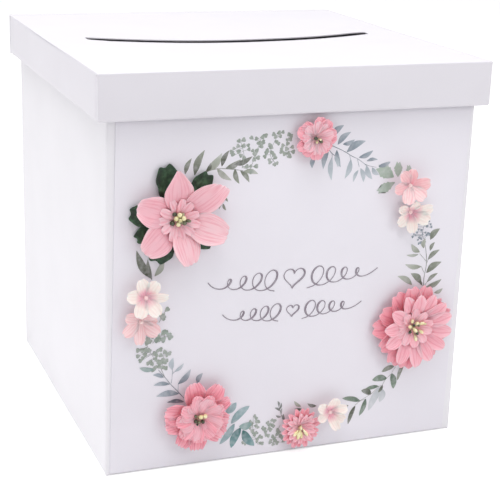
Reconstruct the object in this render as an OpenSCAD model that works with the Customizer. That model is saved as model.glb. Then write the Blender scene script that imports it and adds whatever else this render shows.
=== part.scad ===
// Wedding card box: a folded board box, a lift-off lid with a card slot,
// and a glued front panel that carries a wreath of layered paper flowers.
// Millimetres. The origin is the middle of the base, +Z is up and the front faces -Y.

/* [Box] */
// Outside width of the walls
box_w = 242; // [230:1:300]
// Outside depth of the walls
box_d = 242; // [200:1:300]
// Height of the walls
wall_h = 252; // [230:2:320]
// Thickness of the box board
board_t = 1.5; // [1:0.1:2.5]
// Outside radius of the creased corners
corner_r = 3; // [2.6:0.1:6]
// Width of the glued lap inside the back left corner
lap_w = 22; // [10:1:40]
// Length of the two dust flaps in the base
dust_flap_l = 70; // [40:1:100]
// Gap between the free edges of the base flaps and the walls
flap_gap = 0.4; // [0.2:0.1:1]

/* [Lid] */
// Thickness of the lid card
lid_t = 1; // [0.6:0.1:1.2]
// Height of the lid from its top face to the bottom of its skirts
lid_h = 28.2; // [18:0.2:50]
// Gap between the walls and the inside of the skirts
lid_clear = 3.3; // [3:0.1:8]
// Gap between the two layers of a skirt
skirt_gap = 1.2; // [1.2:0.1:2]
// Length of the corner tabs glued into the front and back skirts
tab_l = 40; // [20:1:70]
// Gap round a tucked tab and between skirts at the corners
tuck_gap = 0.2; // [0.1:0.1:0.5]
// Length of the card slot
slot_l = 200; // [160:2:220]
// Width of the card slot
slot_w = 8; // [5:0.5:12]
// How far the slot lies behind the middle of the lid
slot_back = 8; // [0:1:30]

/* [Front panel] */
// Thickness of the printed card panel on the front wall
panel_t = 1; // [0.5:0.1:1.5]
// Flat wall left of the panel, beside the corner crease
panel_left = 2.6; // [0:0.2:6]
// Flat wall right of the panel, beside the corner crease
panel_right = 2.6; // [0:0.2:6]
// Wall below the panel
panel_low = 1.6; // [1:0.2:8]
// Wall above the panel
panel_high = 2; // [1:0.5:10]
// Distance from the ring of flowers to the left edge of the panel
ring_side_margin = 19.2; // [18:0.2:30]
// Distance from the ring of flowers to the bottom of the panel and to the lid
ring_end_margin = 15.2; // [15:0.2:30]

/* [Flowers] */
// Thickness of the flower paper
paper_t = 0.4; // [0.3:0.05:0.6]
// Thickness of a low foam pad
low_pad_h = 1.4; // [1:0.1:1.4]
// Thickness of a high foam pad, under a blossom that overlaps its neighbour
high_pad_h = 4.6; // [4.6:0.1:6]
// Radius of the foam pad under a large flower
pad_r = 4; // [3:0.2:5]
// Radius of the foam pad under a small blossom
blossom_pad_r = 2.4; // [2:0.1:4]
// Least gap between a foam pad and the petals of a neighbour
pad_gap = 0.3; // [0.2:0.1:1]
// Radius of the wire stalk that holds a bunch of stamens
stalk_r = 1.1; // [0.8:0.1:1.4]
// Gap between a stalk and the holes of its petals
stalk_gap = 0.1; // [0.05:0.05:0.3]
// Radius of a stamen wire
wire_r = 0.3; // [0.25:0.05:0.4]
// Radius of the pearl in a small blossom
pearl_r = 1.6; // [1:0.1:2]
// Tip radius of the lily petals
lily_r = 30; // [24:1:32]
// Tip radius of the lily leaves
leaf_r = 33; // [28:1:35]
// Tip radius of the rear gerbera petals
gerbera_r = 30; // [22:1:30]
// Tip radius of the rear peony petals
peony_r = 25; // [20:1:27]
// Tip radius of the rear primrose petals
primrose_r = 14; // [10:0.5:15]
// Tip radius of the rear aster petals
aster_r = 14; // [11:0.5:15]
// Tip radius of the five small blossoms
blossom_r = 13.5; // [10:0.5:14]

/* [Hidden] */
$fn = 48;

white = "#f2f0f4";
lilac_white = "#e9e6ec";
kraft_foam = "#f6f4ee";
rose = "#f3aab6";
deep_rose = "#ee8a9a";
pale_rose = "#f6bcc6";
salmon = "#f5b7b6";
cream = "#f6ece4";
leaf_green = "#2f5240";
stamen_yellow = "#ece9b4";

// Box
inner_w = box_w - 2 * board_t;
inner_d = box_d - 2 * board_t;
crease_r = max(0.4, corner_r - board_t);
flap_inset = crease_r + flap_gap;
flap_w = inner_w - 2 * flap_inset;
flap_d = inner_d - 2 * flap_inset;
base_h = 3 * board_t;

// Lid
skirt_t = 2 * lid_t + skirt_gap;
lid_w = box_w + 2 * (lid_clear + skirt_t);
lid_d = box_d + 2 * (lid_clear + skirt_t);
skirt_low = wall_h + lid_t - lid_h;
fold_r = skirt_t / 2;
fold_z = skirt_low + fold_r;
skirt_plate_h = wall_h - fold_z;
end_inset = lid_t + tuck_gap;

// Front panel and the ring of flowers on it
front_y = -box_d / 2;
face_y = front_y - panel_t;
panel_x = -box_w / 2 + corner_r + panel_left;
panel_w = box_w - 2 * corner_r - panel_left - panel_right;
ring_z = (panel_low + skirt_low) / 2;
ring_rx = -panel_x - ring_side_margin;
ring_rz = (skirt_low - panel_low) / 2 - ring_end_margin;

// Place of each flower: angle round the ring, and distance outside it
lily_at = [146.5, -3.7];
gerbera_at = [-21.7, -4];
peony_at = [-127.7, 3.9];
primrose_at = [84.5, 0.3];
aster_at = [-85.3, -0.7];
pink_right_at = [40, 1.6];
cream_left_at = [177.5, 1.8];
// Direction from a flower on the ring to its small neighbour, and extra distance between them
pink_right_to_cream = [-80.5, 2.5];
cream_left_to_pink = [-96.7, 0];
aster_to_cream = [24.4, 5];

// Shape of each paper layer: petals, tip and notch radius, start angle, height of the tips
// above the layer's own middle, and the powers that round the outline and the dish
lily_outer = [6, lily_r, 5, 96, 5.5, 3.2, 1.4];
lily_inner = [11, 12.5, 3.6, 85, 4.6, 2, 1.2];
gerbera_rear = [9, gerbera_r, 13, 100, 2.2, 3.5, 1.2];
gerbera_middle = [13, gerbera_r - 3, 5, 90, 7.4, 3, 1.3];
gerbera_front = [10, 15, 5, 80, 6.8, 2.4, 1.2];
peony_rear = [5, peony_r, 9, 108, 2.6, 3.4, 1.2];
peony_middle = [5, 20, 9, 60, 5.2, 3.4, 1.3];
peony_front = [6, 16, 10, 85, 5.6, 3.6, 1.3];
primrose_rear = [5, primrose_r, 6, 85, 2.2, 3.4, 1.2];
primrose_front = [9, 11.5, 6.5, 75, 3.8, 3, 1.2];
aster_rear = [14, aster_r, 4.5, 90, 2.6, 1.7, 1.2];
aster_front = [13, 11.5, 4, 76, 3.2, 1.7, 1.2];
blossom = [6, blossom_r, 3.2, 0, 1.8, 3, 1.3];
leaf_rise = 1.4;
leaf_dish_power = 1.2;
leaf_angles = [50, 105, 176, 252, 327];
// Half of a lobed leaf's outline, as shares of its length: along it and to one side
leaf_side = [[0.08, 0.03], [0.3, 0.13], [0.52, 0.24], [0.62, 0.19], [0.8, 0.22], [0.88, 0.1]];
outline_steps = 12;
dish_steps = 4;
hub_r = 2.4;
// How far a cutting shape runs past the faces that it cuts
cut = 1;
outline_power = 1.6;

// Stamens: beads, radius of their circle, height of their middles above the stalk's foot, bead radius
lily_bunch = [7, 3.6, 7.4, 1.25];
gerbera_bunch = [8, 4.4, 8.6, 1.15];
peony_bunch = [6, 2.9, 7.6, 1.25];
primrose_bunch = [4, 1.9, 5.6, 1];
aster_bunch = [5, 3.2, 7, 1.15];

// Box: walls, base and front panel

module rounded_block(w, d, h, r) {
    translate([-w / 2, -d / 2 + r, 0]) cube([w, d - 2 * r, h]);
    translate([-w / 2 + r, -d / 2, 0]) cube([w - 2 * r, d, h]);
    for (x = [-1, 1], y = [-1, 1])
        translate([x * (w / 2 - r), y * (d / 2 - r), 0]) cylinder(r = r, h = h);
}

module wall_sleeve() {
    color(white) union() {
        difference() {
            rounded_block(box_w, box_d, wall_h, corner_r);
            translate([0, 0, -cut]) rounded_block(inner_w, inner_d, wall_h + 2 * cut, crease_r);
        }
        // The lap is the left wall's edge, turned in and glued to the back wall
        lap_low = base_h + flap_gap;
        translate([-inner_w / 2, inner_d / 2 - board_t, lap_low])
            cube([lap_w, board_t, wall_h - lap_low]);
    }
}

// Each base flap meets the wall that it is folded from, and is short of the other walls

module base_outer_flap() {
    length = inner_d - flap_gap;
    color(white) translate([-flap_w / 2, inner_d / 2 - length, 0]) cube([flap_w, length, board_t]);
}

module left_dust_flap() {
    color(white) translate([-inner_w / 2, -flap_d / 2, board_t]) cube([dust_flap_l, flap_d, board_t]);
}

module right_dust_flap() { mirror([1, 0, 0]) left_dust_flap(); }

module base_inner_flap() {
    length = inner_d - flap_gap;
    color(white) translate([-flap_w / 2, -inner_d / 2, 2 * board_t]) cube([flap_w, length, board_t]);
}

module front_panel() {
    color(lilac_white) translate([panel_x, face_y, panel_low])
        cube([panel_w, panel_t, wall_h - panel_high - panel_low]);
}

// Lid: a top with four skirts, each folded under and up inside itself

module lid_top() {
    color(white) difference() {
        translate([0, 0, wall_h]) rounded_block(lid_w, lid_d, lid_t, lid_t);
        translate([0, slot_back, wall_h - cut]) {
            straight = slot_l - slot_w;
            depth = lid_t + 2 * cut;
            translate([-straight / 2, -slot_w / 2, 0]) cube([straight, slot_w, depth]);
            for (end = [-1, 1])
                translate([end * straight / 2, 0, 0]) cylinder(d = slot_w, h = depth);
        }
    }
}

// The rolled lower edge of a skirt, along X, with the outer layer at y = 0
module rolled_edge(length) {
    translate([0, fold_r, fold_z]) intersection() {
        rotate([0, 90, 0]) difference() {
            cylinder(r = fold_r, h = length, center = true);
            cylinder(r = skirt_gap / 2, h = length + 2 * cut, center = true);
        }
        translate([-length, -skirt_t, -skirt_t]) cube([2 * length, 2 * skirt_t, skirt_t]);
    }
}

// One skirt along X with its outer layer at y = 0; the inner layer and the roll are shorter
module skirt(outer_l, inner_l) {
    translate([-outer_l / 2, 0, fold_z]) cube([outer_l, lid_t, skirt_plate_h]);
    translate([-inner_l / 2, lid_t + skirt_gap, fold_z]) cube([inner_l, lid_t, skirt_plate_h]);
    rolled_edge(inner_l);
}

module lid_front_skirt() {
    color(white) translate([0, -lid_d / 2, 0]) skirt(lid_w, lid_w - 2 * end_inset);
}

module lid_back_skirt() {
    color(white) rotate([0, 0, 180]) translate([0, -lid_d / 2, 0]) skirt(lid_w, lid_w - 2 * end_inset);
}

// A side skirt fits between the front and back skirts
module side_skirt() {
    color(white) translate([0, -lid_w / 2, 0])
        skirt(lid_d - 2 * lid_t, lid_d - 2 * (skirt_t + tuck_gap));
}

module lid_left_skirt() { rotate([0, 0, -90]) side_skirt(); }
module lid_right_skirt() { rotate([0, 0, 90]) side_skirt(); }

// A tab turns the corner from the end of a side skirt, and is glued inside the next skirt
module front_left_tab() {
    tab_z = fold_z + tuck_gap;
    color(white) translate([-lid_w / 2 + lid_t, -lid_d / 2 + lid_t, tab_z])
        cube([tab_l, lid_t, wall_h - tab_z]);
}

module front_right_tab() { mirror([1, 0, 0]) front_left_tab(); }
module back_left_tab() { mirror([0, 1, 0]) front_left_tab(); }
module back_right_tab() { mirror([0, 1, 0]) front_right_tab(); }

// Flowers are built with +Z away from the panel, and then set on its face

function ring_point(at) = [(ring_rx + at[1]) * cos(at[0]), ring_z + (ring_rz + at[1]) * sin(at[0])];

module on_panel(point) {
    translate([point[0], face_y, point[1]]) rotate([90, 0, 0]) children();
}

// Distance of the outline from the middle, where u runs from -1 to 1 across one petal
function petal_reach(u, tip_r, notch_r, round_power) =
    notch_r + (tip_r - notch_r) * pow(1 - pow(abs(u), round_power), 1 / outline_power);

function rosette(count, tip_r, notch_r, start, round_power) = [
    for (petal = [0:count - 1], step = [0:outline_steps - 1])
        let (u = 2 * step / outline_steps - 1,
             angle = start + (petal + u / 2) * 360 / count,
             reach = petal_reach(u, tip_r, notch_r, round_power))
        [reach * cos(angle), reach * sin(angle)]
];

// A round dished sheet of paper: flat to hub_r, then rising to the tip radius
module dish(tip_r, rise, dish_power) {
    radii = [for (i = [0:dish_steps]) hub_r + (tip_r + cut - hub_r) * i / dish_steps];
    low = [for (r = radii) [r, rise * pow((r - hub_r) / (tip_r - hub_r), dish_power)]];
    high = [for (i = [dish_steps:-1:0]) [low[i][0], low[i][1] + paper_t]];
    rotate_extrude($fn = 64) polygon(concat([[0, 0]], low, high, [[0, paper_t]]));
}

module stalk_hole() {
    translate([0, 0, -cut]) cylinder(r = stalk_r + stalk_gap, h = paper_t + 2 * cut);
}

// Cuts its children to an outline that stands on the plane z = 0
module cut_to_outline(rise) {
    intersection() {
        children(0);
        translate([0, 0, -cut]) linear_extrude(height = rise + paper_t + 2 * cut) children(1);
    }
}

module petals(shape) {
    cut_to_outline(shape[4]) {
        dish(shape[1], shape[4], shape[6]);
        polygon(rosette(shape[0], shape[1], shape[2], shape[3], shape[5]));
    }
}

// A layer of a flower: 0 lies on the foam pad, and each one after it on the one below
module flower_layer(at, order, shape) {
    on_panel(ring_point(at)) translate([0, 0, low_pad_h + order * paper_t]) difference() {
        petals(shape);
        stalk_hole();
    }
}

// Beads on wires that fan out from one stalk; the stalk stands on the foam pad
module stamens(at, bunch) {
    count = bunch[0];
    fork_z = bunch[2] * 0.4;
    on_panel(ring_point(at)) translate([0, 0, low_pad_h]) {
        cylinder(r = stalk_r, h = fork_z + wire_r);
        for (i = [0:count - 1]) {
            reach = i == 0 ? 0 : bunch[1];
            angle = i * 360 / (count - 1);
            lean = atan2(reach, bunch[2] - fork_z);
            wire_l = norm([reach, bunch[2] - fork_z]);
            rotate([0, 0, angle]) translate([0, 0, fork_z]) rotate([0, lean, 0]) {
                cylinder(r = wire_r, h = wire_l);
                translate([0, 0, wire_l]) sphere(r = bunch[3]);
            }
        }
    }
}

function turned(p, angle) = [p[0] * cos(angle) - p[1] * sin(angle), p[0] * sin(angle) + p[1] * cos(angle)];

// One sheet cut into a ring of lobed leaves
module leaf_outline() {
    last = len(leaf_side) - 1;
    right_side = [for (p = leaf_side) [p[0], -p[1]]];
    left_side = [for (i = [last:-1:0]) leaf_side[i]];
    leaf = concat(right_side, [[1, 0]], left_side);
    polygon([for (angle = leaf_angles, p = leaf) turned(leaf_r * p, angle)]);
}

module lily_leaves() {
    color(leaf_green) on_panel(ring_point(lily_at)) translate([0, 0, low_pad_h]) difference() {
        cut_to_outline(leaf_rise) {
            dish(leaf_r, leaf_rise, leaf_dish_power);
            leaf_outline();
        }
        stalk_hole();
    }
}

module lily_petals() { color(pale_rose) flower_layer(lily_at, 1, lily_outer); }
module lily_inner_petals() { color(rose) flower_layer(lily_at, 2, lily_inner); }
module lily_stamens() { color(stamen_yellow) stamens(lily_at, lily_bunch); }

module gerbera_rear_petals() { color(deep_rose) flower_layer(gerbera_at, 0, gerbera_rear); }
module gerbera_middle_petals() { color(rose) flower_layer(gerbera_at, 1, gerbera_middle); }
module gerbera_front_petals() { color(rose) flower_layer(gerbera_at, 2, gerbera_front); }
module gerbera_stamens() { color(stamen_yellow) stamens(gerbera_at, gerbera_bunch); }

module peony_rear_petals() { color(deep_rose) flower_layer(peony_at, 0, peony_rear); }
module peony_middle_petals() { color(deep_rose) flower_layer(peony_at, 1, peony_middle); }
module peony_front_petals() { color(rose) flower_layer(peony_at, 2, peony_front); }
module peony_stamens() { color(stamen_yellow) stamens(peony_at, peony_bunch); }

module primrose_rear_petals() { color(deep_rose) flower_layer(primrose_at, 0, primrose_rear); }
module primrose_front_petals() { color(rose) flower_layer(primrose_at, 1, primrose_front); }
module primrose_stamens() { color(stamen_yellow) stamens(primrose_at, primrose_bunch); }

module aster_rear_petals() { color(deep_rose) flower_layer(aster_at, 0, aster_rear); }
module aster_front_petals() { color(rose) flower_layer(aster_at, 1, aster_front); }
module aster_stamens() { color(stamen_yellow) stamens(aster_at, aster_bunch); }

// Small blossoms: one dished layer on a pad, with a pearl glued in its middle

// Place of a small blossom beside a flower whose petals or pad reach out by a given radius
function beside(at, reach, step) =
    let (distance = reach + blossom_pad_r + pad_gap + step[1])
    ring_point(at) + distance * [cos(step[0]), sin(step[0])];

// Point on the panel, pad thickness and start angle of each small blossom
pink_right = [ring_point(pink_right_at), high_pad_h, 117];
cream_right = [beside(pink_right_at, blossom_r, pink_right_to_cream), low_pad_h, 15];
cream_left = [ring_point(cream_left_at), high_pad_h, 112];
pink_left = [beside(cream_left_at, blossom_r, cream_left_to_pink), low_pad_h, 145];
cream_base = [beside(aster_at, aster_r, aster_to_cream), high_pad_h, 20];
blossoms = [pink_right, cream_right, cream_left, pink_left, cream_base];

module small_blossom(place) {
    on_panel(place[0]) translate([0, 0, place[1]]) rotate(place[2]) petals(blossom);
}

module pink_blossom_right() { color(salmon) small_blossom(pink_right); }
module cream_blossom_right() { color(cream) small_blossom(cream_right); }
module cream_blossom_left() { color(cream) small_blossom(cream_left); }
module pink_blossom_left() { color(salmon) small_blossom(pink_left); }
module cream_blossom_base() { color(cream) small_blossom(cream_base); }

module blossom_pearls() {
    color(cream) for (place = blossoms)
        on_panel(place[0]) translate([0, 0, place[1] + paper_t]) intersection() {
            sphere(r = pearl_r);
            translate([-2 * pearl_r, -2 * pearl_r, 0]) cube(4 * pearl_r);
        }
}

module foam_pads() {
    color(kraft_foam) {
        for (at = [lily_at, gerbera_at, peony_at, primrose_at, aster_at])
            on_panel(ring_point(at)) cylinder(r = pad_r, h = low_pad_h);
        for (place = blossoms)
            on_panel(place[0]) cylinder(r = blossom_pad_r, h = place[1]);
    }
}

wall_sleeve();
base_outer_flap();
left_dust_flap();
right_dust_flap();
base_inner_flap();
front_panel();
lid_top();
lid_front_skirt();
lid_back_skirt();
lid_left_skirt();
lid_right_skirt();
front_left_tab();
front_right_tab();
back_left_tab();
back_right_tab();
foam_pads();
lily_leaves();
lily_petals();
lily_inner_petals();
lily_stamens();
gerbera_rear_petals();
gerbera_middle_petals();
gerbera_front_petals();
gerbera_stamens();
peony_rear_petals();
peony_middle_petals();
peony_front_petals();
peony_stamens();
primrose_rear_petals();
primrose_front_petals();
primrose_stamens();
aster_rear_petals();
aster_front_petals();
aster_stamens();
pink_blossom_right();
cream_blossom_right();
cream_blossom_left();
pink_blossom_left();
cream_blossom_base();
blossom_pearls();
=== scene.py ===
# %% [markdown]
# # A card box with a lift-off lid and a ring of paper flowers
# The object is a square box of white coated board, a printed panel on its front, and a deep tray
# lid with a slot for cards. Ten hand-made paper flowers stand on foam pads round the print.
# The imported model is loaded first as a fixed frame. Everything after it dresses that frame, in
# metres, and takes the places of the walls, the panel and the lid from it.

# %% Load the fixed frame
import math
import random

import bmesh
import bpy
from mathutils import Matrix, Vector


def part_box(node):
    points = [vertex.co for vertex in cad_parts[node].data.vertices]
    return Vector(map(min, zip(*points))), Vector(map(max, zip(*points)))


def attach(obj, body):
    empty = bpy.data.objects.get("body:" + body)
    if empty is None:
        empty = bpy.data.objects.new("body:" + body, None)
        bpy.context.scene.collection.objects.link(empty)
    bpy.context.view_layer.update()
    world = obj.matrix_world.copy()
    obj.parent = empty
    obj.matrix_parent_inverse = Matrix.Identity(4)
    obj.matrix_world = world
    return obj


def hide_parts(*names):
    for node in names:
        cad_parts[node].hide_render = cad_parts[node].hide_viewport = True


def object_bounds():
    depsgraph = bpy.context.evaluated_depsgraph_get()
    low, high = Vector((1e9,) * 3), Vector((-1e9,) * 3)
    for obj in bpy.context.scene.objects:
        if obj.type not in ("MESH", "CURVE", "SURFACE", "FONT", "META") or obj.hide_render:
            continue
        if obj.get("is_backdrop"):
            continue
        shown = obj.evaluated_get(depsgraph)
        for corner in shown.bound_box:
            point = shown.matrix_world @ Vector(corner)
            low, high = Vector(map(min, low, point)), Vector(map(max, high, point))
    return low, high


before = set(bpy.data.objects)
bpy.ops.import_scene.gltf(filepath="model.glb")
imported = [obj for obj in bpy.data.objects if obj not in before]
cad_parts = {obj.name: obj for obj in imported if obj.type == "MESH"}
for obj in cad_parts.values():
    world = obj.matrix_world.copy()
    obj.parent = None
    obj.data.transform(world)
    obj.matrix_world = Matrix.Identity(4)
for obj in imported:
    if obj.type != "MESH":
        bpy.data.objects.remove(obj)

MM = 0.001
cad_low, cad_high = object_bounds()
print("frame", [round(1000 * (h - l), 1) for l, h in zip(cad_low, cad_high)], "mm")

# %% [markdown]
# ## The camera
# A product shot looks a little down on the box and shows its left side. The camera is about one
# metre away with a long lens, so upright edges stay nearly parallel. Its three axes are worked
# out from a heading, a tilt and a small roll, because a hand-held camera is never quite level.

# %% Camera from heading, tilt and roll
HEADING, TILT, ROLL = math.radians(21.42), math.radians(-16.95), math.radians(1.92)
CAMERA_AT = Vector((-0.3144, -0.8463, 0.3828))
PIXELS_WIDE, FOCAL_PIXELS, SENSOR = 500, 1326.8, 36.0

ahead = Vector((math.sin(HEADING) * math.cos(TILT), math.cos(HEADING) * math.cos(TILT),
                math.sin(TILT)))
level = Vector((math.cos(HEADING), -math.sin(HEADING), 0))
upright = level.cross(ahead)
rightward = level * math.cos(ROLL) + upright * math.sin(ROLL)
upward = upright * math.cos(ROLL) - level * math.sin(ROLL)

camera_data = bpy.data.cameras.new("studio_camera")
camera_data.sensor_width = SENSOR
camera_data.lens = SENSOR * FOCAL_PIXELS / PIXELS_WIDE
camera_data.clip_start = 0.05
camera = bpy.data.objects.new("studio_camera", camera_data)
camera.matrix_world = Matrix((rightward, upward, -ahead)).transposed().to_4x4()
camera.location = CAMERA_AT
bpy.context.collection.objects.link(camera)
bpy.context.scene.camera = camera
print("lens", round(camera_data.lens, 1), "mm")

# %% [markdown]
# ## Small helpers for materials
# Paint chips and screens give colours as sRGB, but light is summed in linear values, so one
# function turns a hex colour to linear. Another adds one node with its settings and its links,
# which keeps each material as short as its recipe. Two more fill a colour ramp and start a
# material with its shader.

# %% Colour and node helpers
def linear(hex_colour):
    """An sRGB hex colour as linear RGBA."""
    parts = [int(hex_colour[i:i + 2], 16) / 255 for i in (1, 3, 5)]
    return [c / 12.92 if c <= 0.04045 else ((c + 0.055) / 1.055) ** 2.4 for c in parts] + [1.0]


def add_node(tree, kind, sockets=None, **settings):
    """Adds a shader node. A socket is given a number or colour, or linked to another socket."""
    made = tree.nodes.new("ShaderNode" + kind)
    for name, value in settings.items():
        setattr(made, name, value)
    for name, value in (sockets or {}).items():
        if isinstance(value, bpy.types.NodeSocket):
            tree.links.new(value, made.inputs[name])
        else:
            made.inputs[name].default_value = value
    return made


def set_stops(ramp, stops):
    """Gives a colour ramp its stops, as (position, hex colour)."""
    elements = ramp.color_ramp.elements
    while len(elements) < len(stops):
        elements.new(1.0)
    for element, (position, colour) in zip(elements, stops):
        element.position = position
        element.color = linear(colour)


def new_material(name, roughness, **shader_settings):
    """A node material with a Principled shader. Returns the material, its tree and the shader."""
    made = bpy.data.materials.new(name)
    made.use_nodes = True
    shader = made.node_tree.nodes["Principled BSDF"]
    shader.inputs["Roughness"].default_value = roughness
    for socket, value in shader_settings.items():
        shader.inputs[socket.replace("_", " ")].default_value = value
    return made, made.node_tree, shader


# %% [markdown]
# ## Coated board
# The box, the lid and the panel are folding boxboard: pressed wood fibre under a matt white
# coating. The coating makes it nearly white with a soft sheen, the fibres below leave a very
# fine unevenness, and the press leaves a faint cloudiness some centimetres wide. Fibre clumps
# are about 0.8 mm across, drawn a little coarser than they are so that they show at all.

# %% Board materials
CLUMP = 1.1 * MM
CLOUD = 45 * MM


def coated_board(name, colour, shade, roughness, relief):
    """Matt coated board: cloudy tone, fine fibre relief."""
    made, tree, shader = new_material(name, roughness, IOR=1.46, Specular_IOR_Level=0.35)
    place = add_node(tree, "TexCoord").outputs["Object"]
    cloud = add_node(tree, "TexNoise", {"Vector": place, "Scale": 1 / CLOUD, "Detail": 3.0})
    clump = add_node(tree, "TexNoise", {"Vector": place, "Scale": 1 / CLUMP, "Detail": 2.0})
    both = add_node(tree, "Mix", {0: 0.25, 2: cloud.outputs["Fac"], 3: clump.outputs["Fac"]},
                    data_type="FLOAT")
    tone = add_node(tree, "ValToRGB", {"Fac": both.outputs[0]})
    set_stops(tone, [(0.3, shade), (0.62, colour)])
    tree.links.new(tone.outputs["Color"], shader.inputs["Base Color"])
    bump = add_node(tree, "Bump", {"Height": clump.outputs["Fac"], "Distance": relief,
                                   "Strength": 0.5})
    tree.links.new(bump.outputs["Normal"], shader.inputs["Normal"])
    return made


board = coated_board("coated_boxboard_box", "#ebe9ed", "#e8e6ea", 0.5, 0.05 * MM)
# The lid's board is a few tones darker than the box's board: this is painted shade, which makes the
# lid's skirts render darker than the walls.
lid_card = coated_board("coated_boxboard_lid", "#e2dfe5", "#dfdce2", 0.45, 0.05 * MM)
panel_card = coated_board("matt_print_card", "#e8e5ec", "#e5e2e9", 0.6, 0.06 * MM)
print("board materials", [m.name for m in (board, lid_card, panel_card)])

# %% [markdown]
# ## Modelling helpers
# Each piece starts from a primitive of about its size and is shaped in edit mode, as by hand.
# Operators act on all that is selected, so a new piece starts with everything deselected, and
# vertices, edges or faces are picked by a rule on their place.

# %% Selecting and finishing
NEAR, EXACT = 1e-5, 1e-6
SMOOTH_BELOW = math.radians(35)


def start(add, name, **settings):
    """Adds a primitive with nothing else selected, names it and puts its place in its mesh."""
    if bpy.context.object and bpy.context.object.mode != "OBJECT":
        bpy.ops.object.mode_set(mode="OBJECT")
    bpy.ops.object.select_all(action="DESELECT")
    add(**settings)
    bpy.ops.object.transform_apply(location=True, rotation=True, scale=True)
    made = bpy.context.object
    made.name = made.data.name = name
    return made


def put_away(blank):
    """Takes a blank out of the scene, so that only its copies are seen."""
    bpy.context.collection.objects.unlink(blank)


def edit():
    bpy.ops.object.mode_set(mode="EDIT")
    bpy.ops.mesh.select_mode(type="VERT")
    bpy.ops.mesh.select_all(action="DESELECT")


def pick(test, kind="VERT"):
    """Selects the vertices, edges or faces of the mesh being edited for which test is true."""
    bpy.ops.mesh.select_mode(type=kind)
    bpy.ops.mesh.select_all(action="DESELECT")
    work = bmesh.from_edit_mesh(bpy.context.object.data)
    for element in {"VERT": work.verts, "EDGE": work.edges, "FACE": work.faces}[kind]:
        if test(element):
            element.select_set(True)
    work.select_flush_mode()
    bmesh.update_edit_mesh(bpy.context.object.data, loop_triangles=False, destructive=False)


def cut(at, normal):
    """Cuts the mesh being edited right through, square to an axis."""
    pick(lambda v: True)
    bpy.ops.mesh.bisect(plane_co=[at] * 3, plane_no=normal)


def ends(edge):
    return edge.verts[0].co, edge.verts[1].co


def done():
    bpy.ops.object.mode_set(mode="OBJECT")


def put_modifier(piece, kind, **settings):
    """Adds a modifier and applies it."""
    modifier = piece.modifiers.new(kind.lower(), kind)
    for name, value in settings.items():
        setattr(modifier, name, value)
    bpy.ops.object.modifier_apply(modifier=modifier.name)


def own_copy(piece, name):
    """A copy with its own mesh, so that it can be bent and coloured alone."""
    made = piece.copy()
    made.data = piece.data.copy()
    made.name = made.data.name = name
    bpy.context.collection.objects.link(made)
    return made


def join_as(name, parts, lead=-1):
    """Joins parts under a new name. The lead one stays, which is the last unless another is asked."""
    bpy.ops.object.select_all(action="DESELECT")
    for part in parts:
        part.select_set(True)
    bpy.context.view_layer.objects.active = parts[lead]
    bpy.ops.object.join()
    made = bpy.context.object
    made.name = made.data.name = name
    return made


def finish(material, *nodes):
    """Gives frame nodes that keep their shape a material."""
    for node in nodes:
        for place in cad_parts[node].material_slots:
            place.material = material
    print("finished", *nodes)


def dress(piece, body, material, slot, *nodes):
    """Gives a finished piece its material and its body, and hides the frame nodes that it stands for.
    The slot is not used.
    """
    piece.data.materials.clear()
    piece.data.materials.append(material)
    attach(piece, body)
    if nodes:
        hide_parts(*nodes)
    print(piece.name, len(piece.data.polygons), "faces")
    return piece

# %% [markdown]
# ## The walls
# The real sleeve is one strip of board, creased at four corners and glued. It could be folded up
# from a flat strip, but a cube of the outside size gives the same shape at once: its two ends are
# taken off, the four upright edges are bevelled for the creases, and Solidify gives the board its
# thickness inwards. The lower rim is rolled in a little, where the real wall folds into the base.

# %% Walls
wall_low, wall_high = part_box("wall_sleeve")
BOARD_T = 1.5 * MM
BASE_FOLD = 1.3 * MM
CREASE = 2.0 * MM
STEP_UP, STEP_ACROSS = 24 * MM, 30 * MM
size = wall_high - wall_low
walls = start(bpy.ops.mesh.primitive_cube_add, "box_walls", size=1,
              location=(wall_low + wall_high) / 2, scale=size)
edit()
pick(lambda f: abs(f.normal.z) > 0.9, "FACE")
bpy.ops.mesh.delete(type="ONLY_FACE")
pick(lambda e: abs(ends(e)[0].z - ends(e)[1].z) > 0.1, "EDGE")
bpy.ops.mesh.bevel(offset=CREASE, segments=5, affect="EDGES")
for step in range(1, 11):
    cut(step * STEP_UP, (0, 0, 1))
for step in range(-3, 4):
    cut(step * STEP_ACROSS, (1, 0, 0))
    cut(step * STEP_ACROSS, (0, 1, 0))
pick(lambda v: v.co.z < NEAR)
bpy.ops.mesh.extrude_region_move(TRANSFORM_OT_translate={"value": (0, 0, 0)})
bpy.ops.transform.resize(value=(1 - 2 * BASE_FOLD / size.x,) * 2 + (1,), center_override=(0, 0, 0))
pick(lambda v: v.co.z < NEAR and max(abs(v.co.x), abs(v.co.y)) > size.x / 2 - NEAR)
bpy.ops.transform.translate(value=(0, 0, BASE_FOLD))
done()

# %% [markdown]
# Board that is creased on four sides never lies dead flat. A very soft swelling, under half a
# millimetre, is added between the creases, and the corners stay where they are. Then the board
# gets its thickness and a fine rounding on its cut edges.

# %% Soft swelling, thickness and rounded rims
SWELL = 0.45 * MM
edit()
for sign, axis in ((-1, 0), (1, 0), (1, 1)):
    for rise in (0.25, 0.5, 0.75):
        middle = Vector((0, 0, rise * wall_high.z))
        middle[axis] = sign * size.x / 2
        pick(lambda v: (v.co - middle).length < 20 * MM)
        push = [0, 0, 0]
        push[axis] = sign * SWELL * (0.7 if rise != 0.5 else 0.5)
        bpy.ops.transform.translate(value=push, use_proportional_edit=True,
                                    proportional_edit_falloff="SMOOTH", proportional_size=75 * MM)
done()
put_modifier(walls, "SOLIDIFY", thickness=BOARD_T, offset=-1.0, use_even_offset=True)
put_modifier(walls, "BEVEL", width=0.35 * MM, segments=2, limit_method="ANGLE",
             angle_limit=math.radians(50))
bpy.ops.object.shade_smooth_by_angle(angle=SMOOTH_BELOW)
dress(walls, "box", board, "board", "wall_sleeve")

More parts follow.
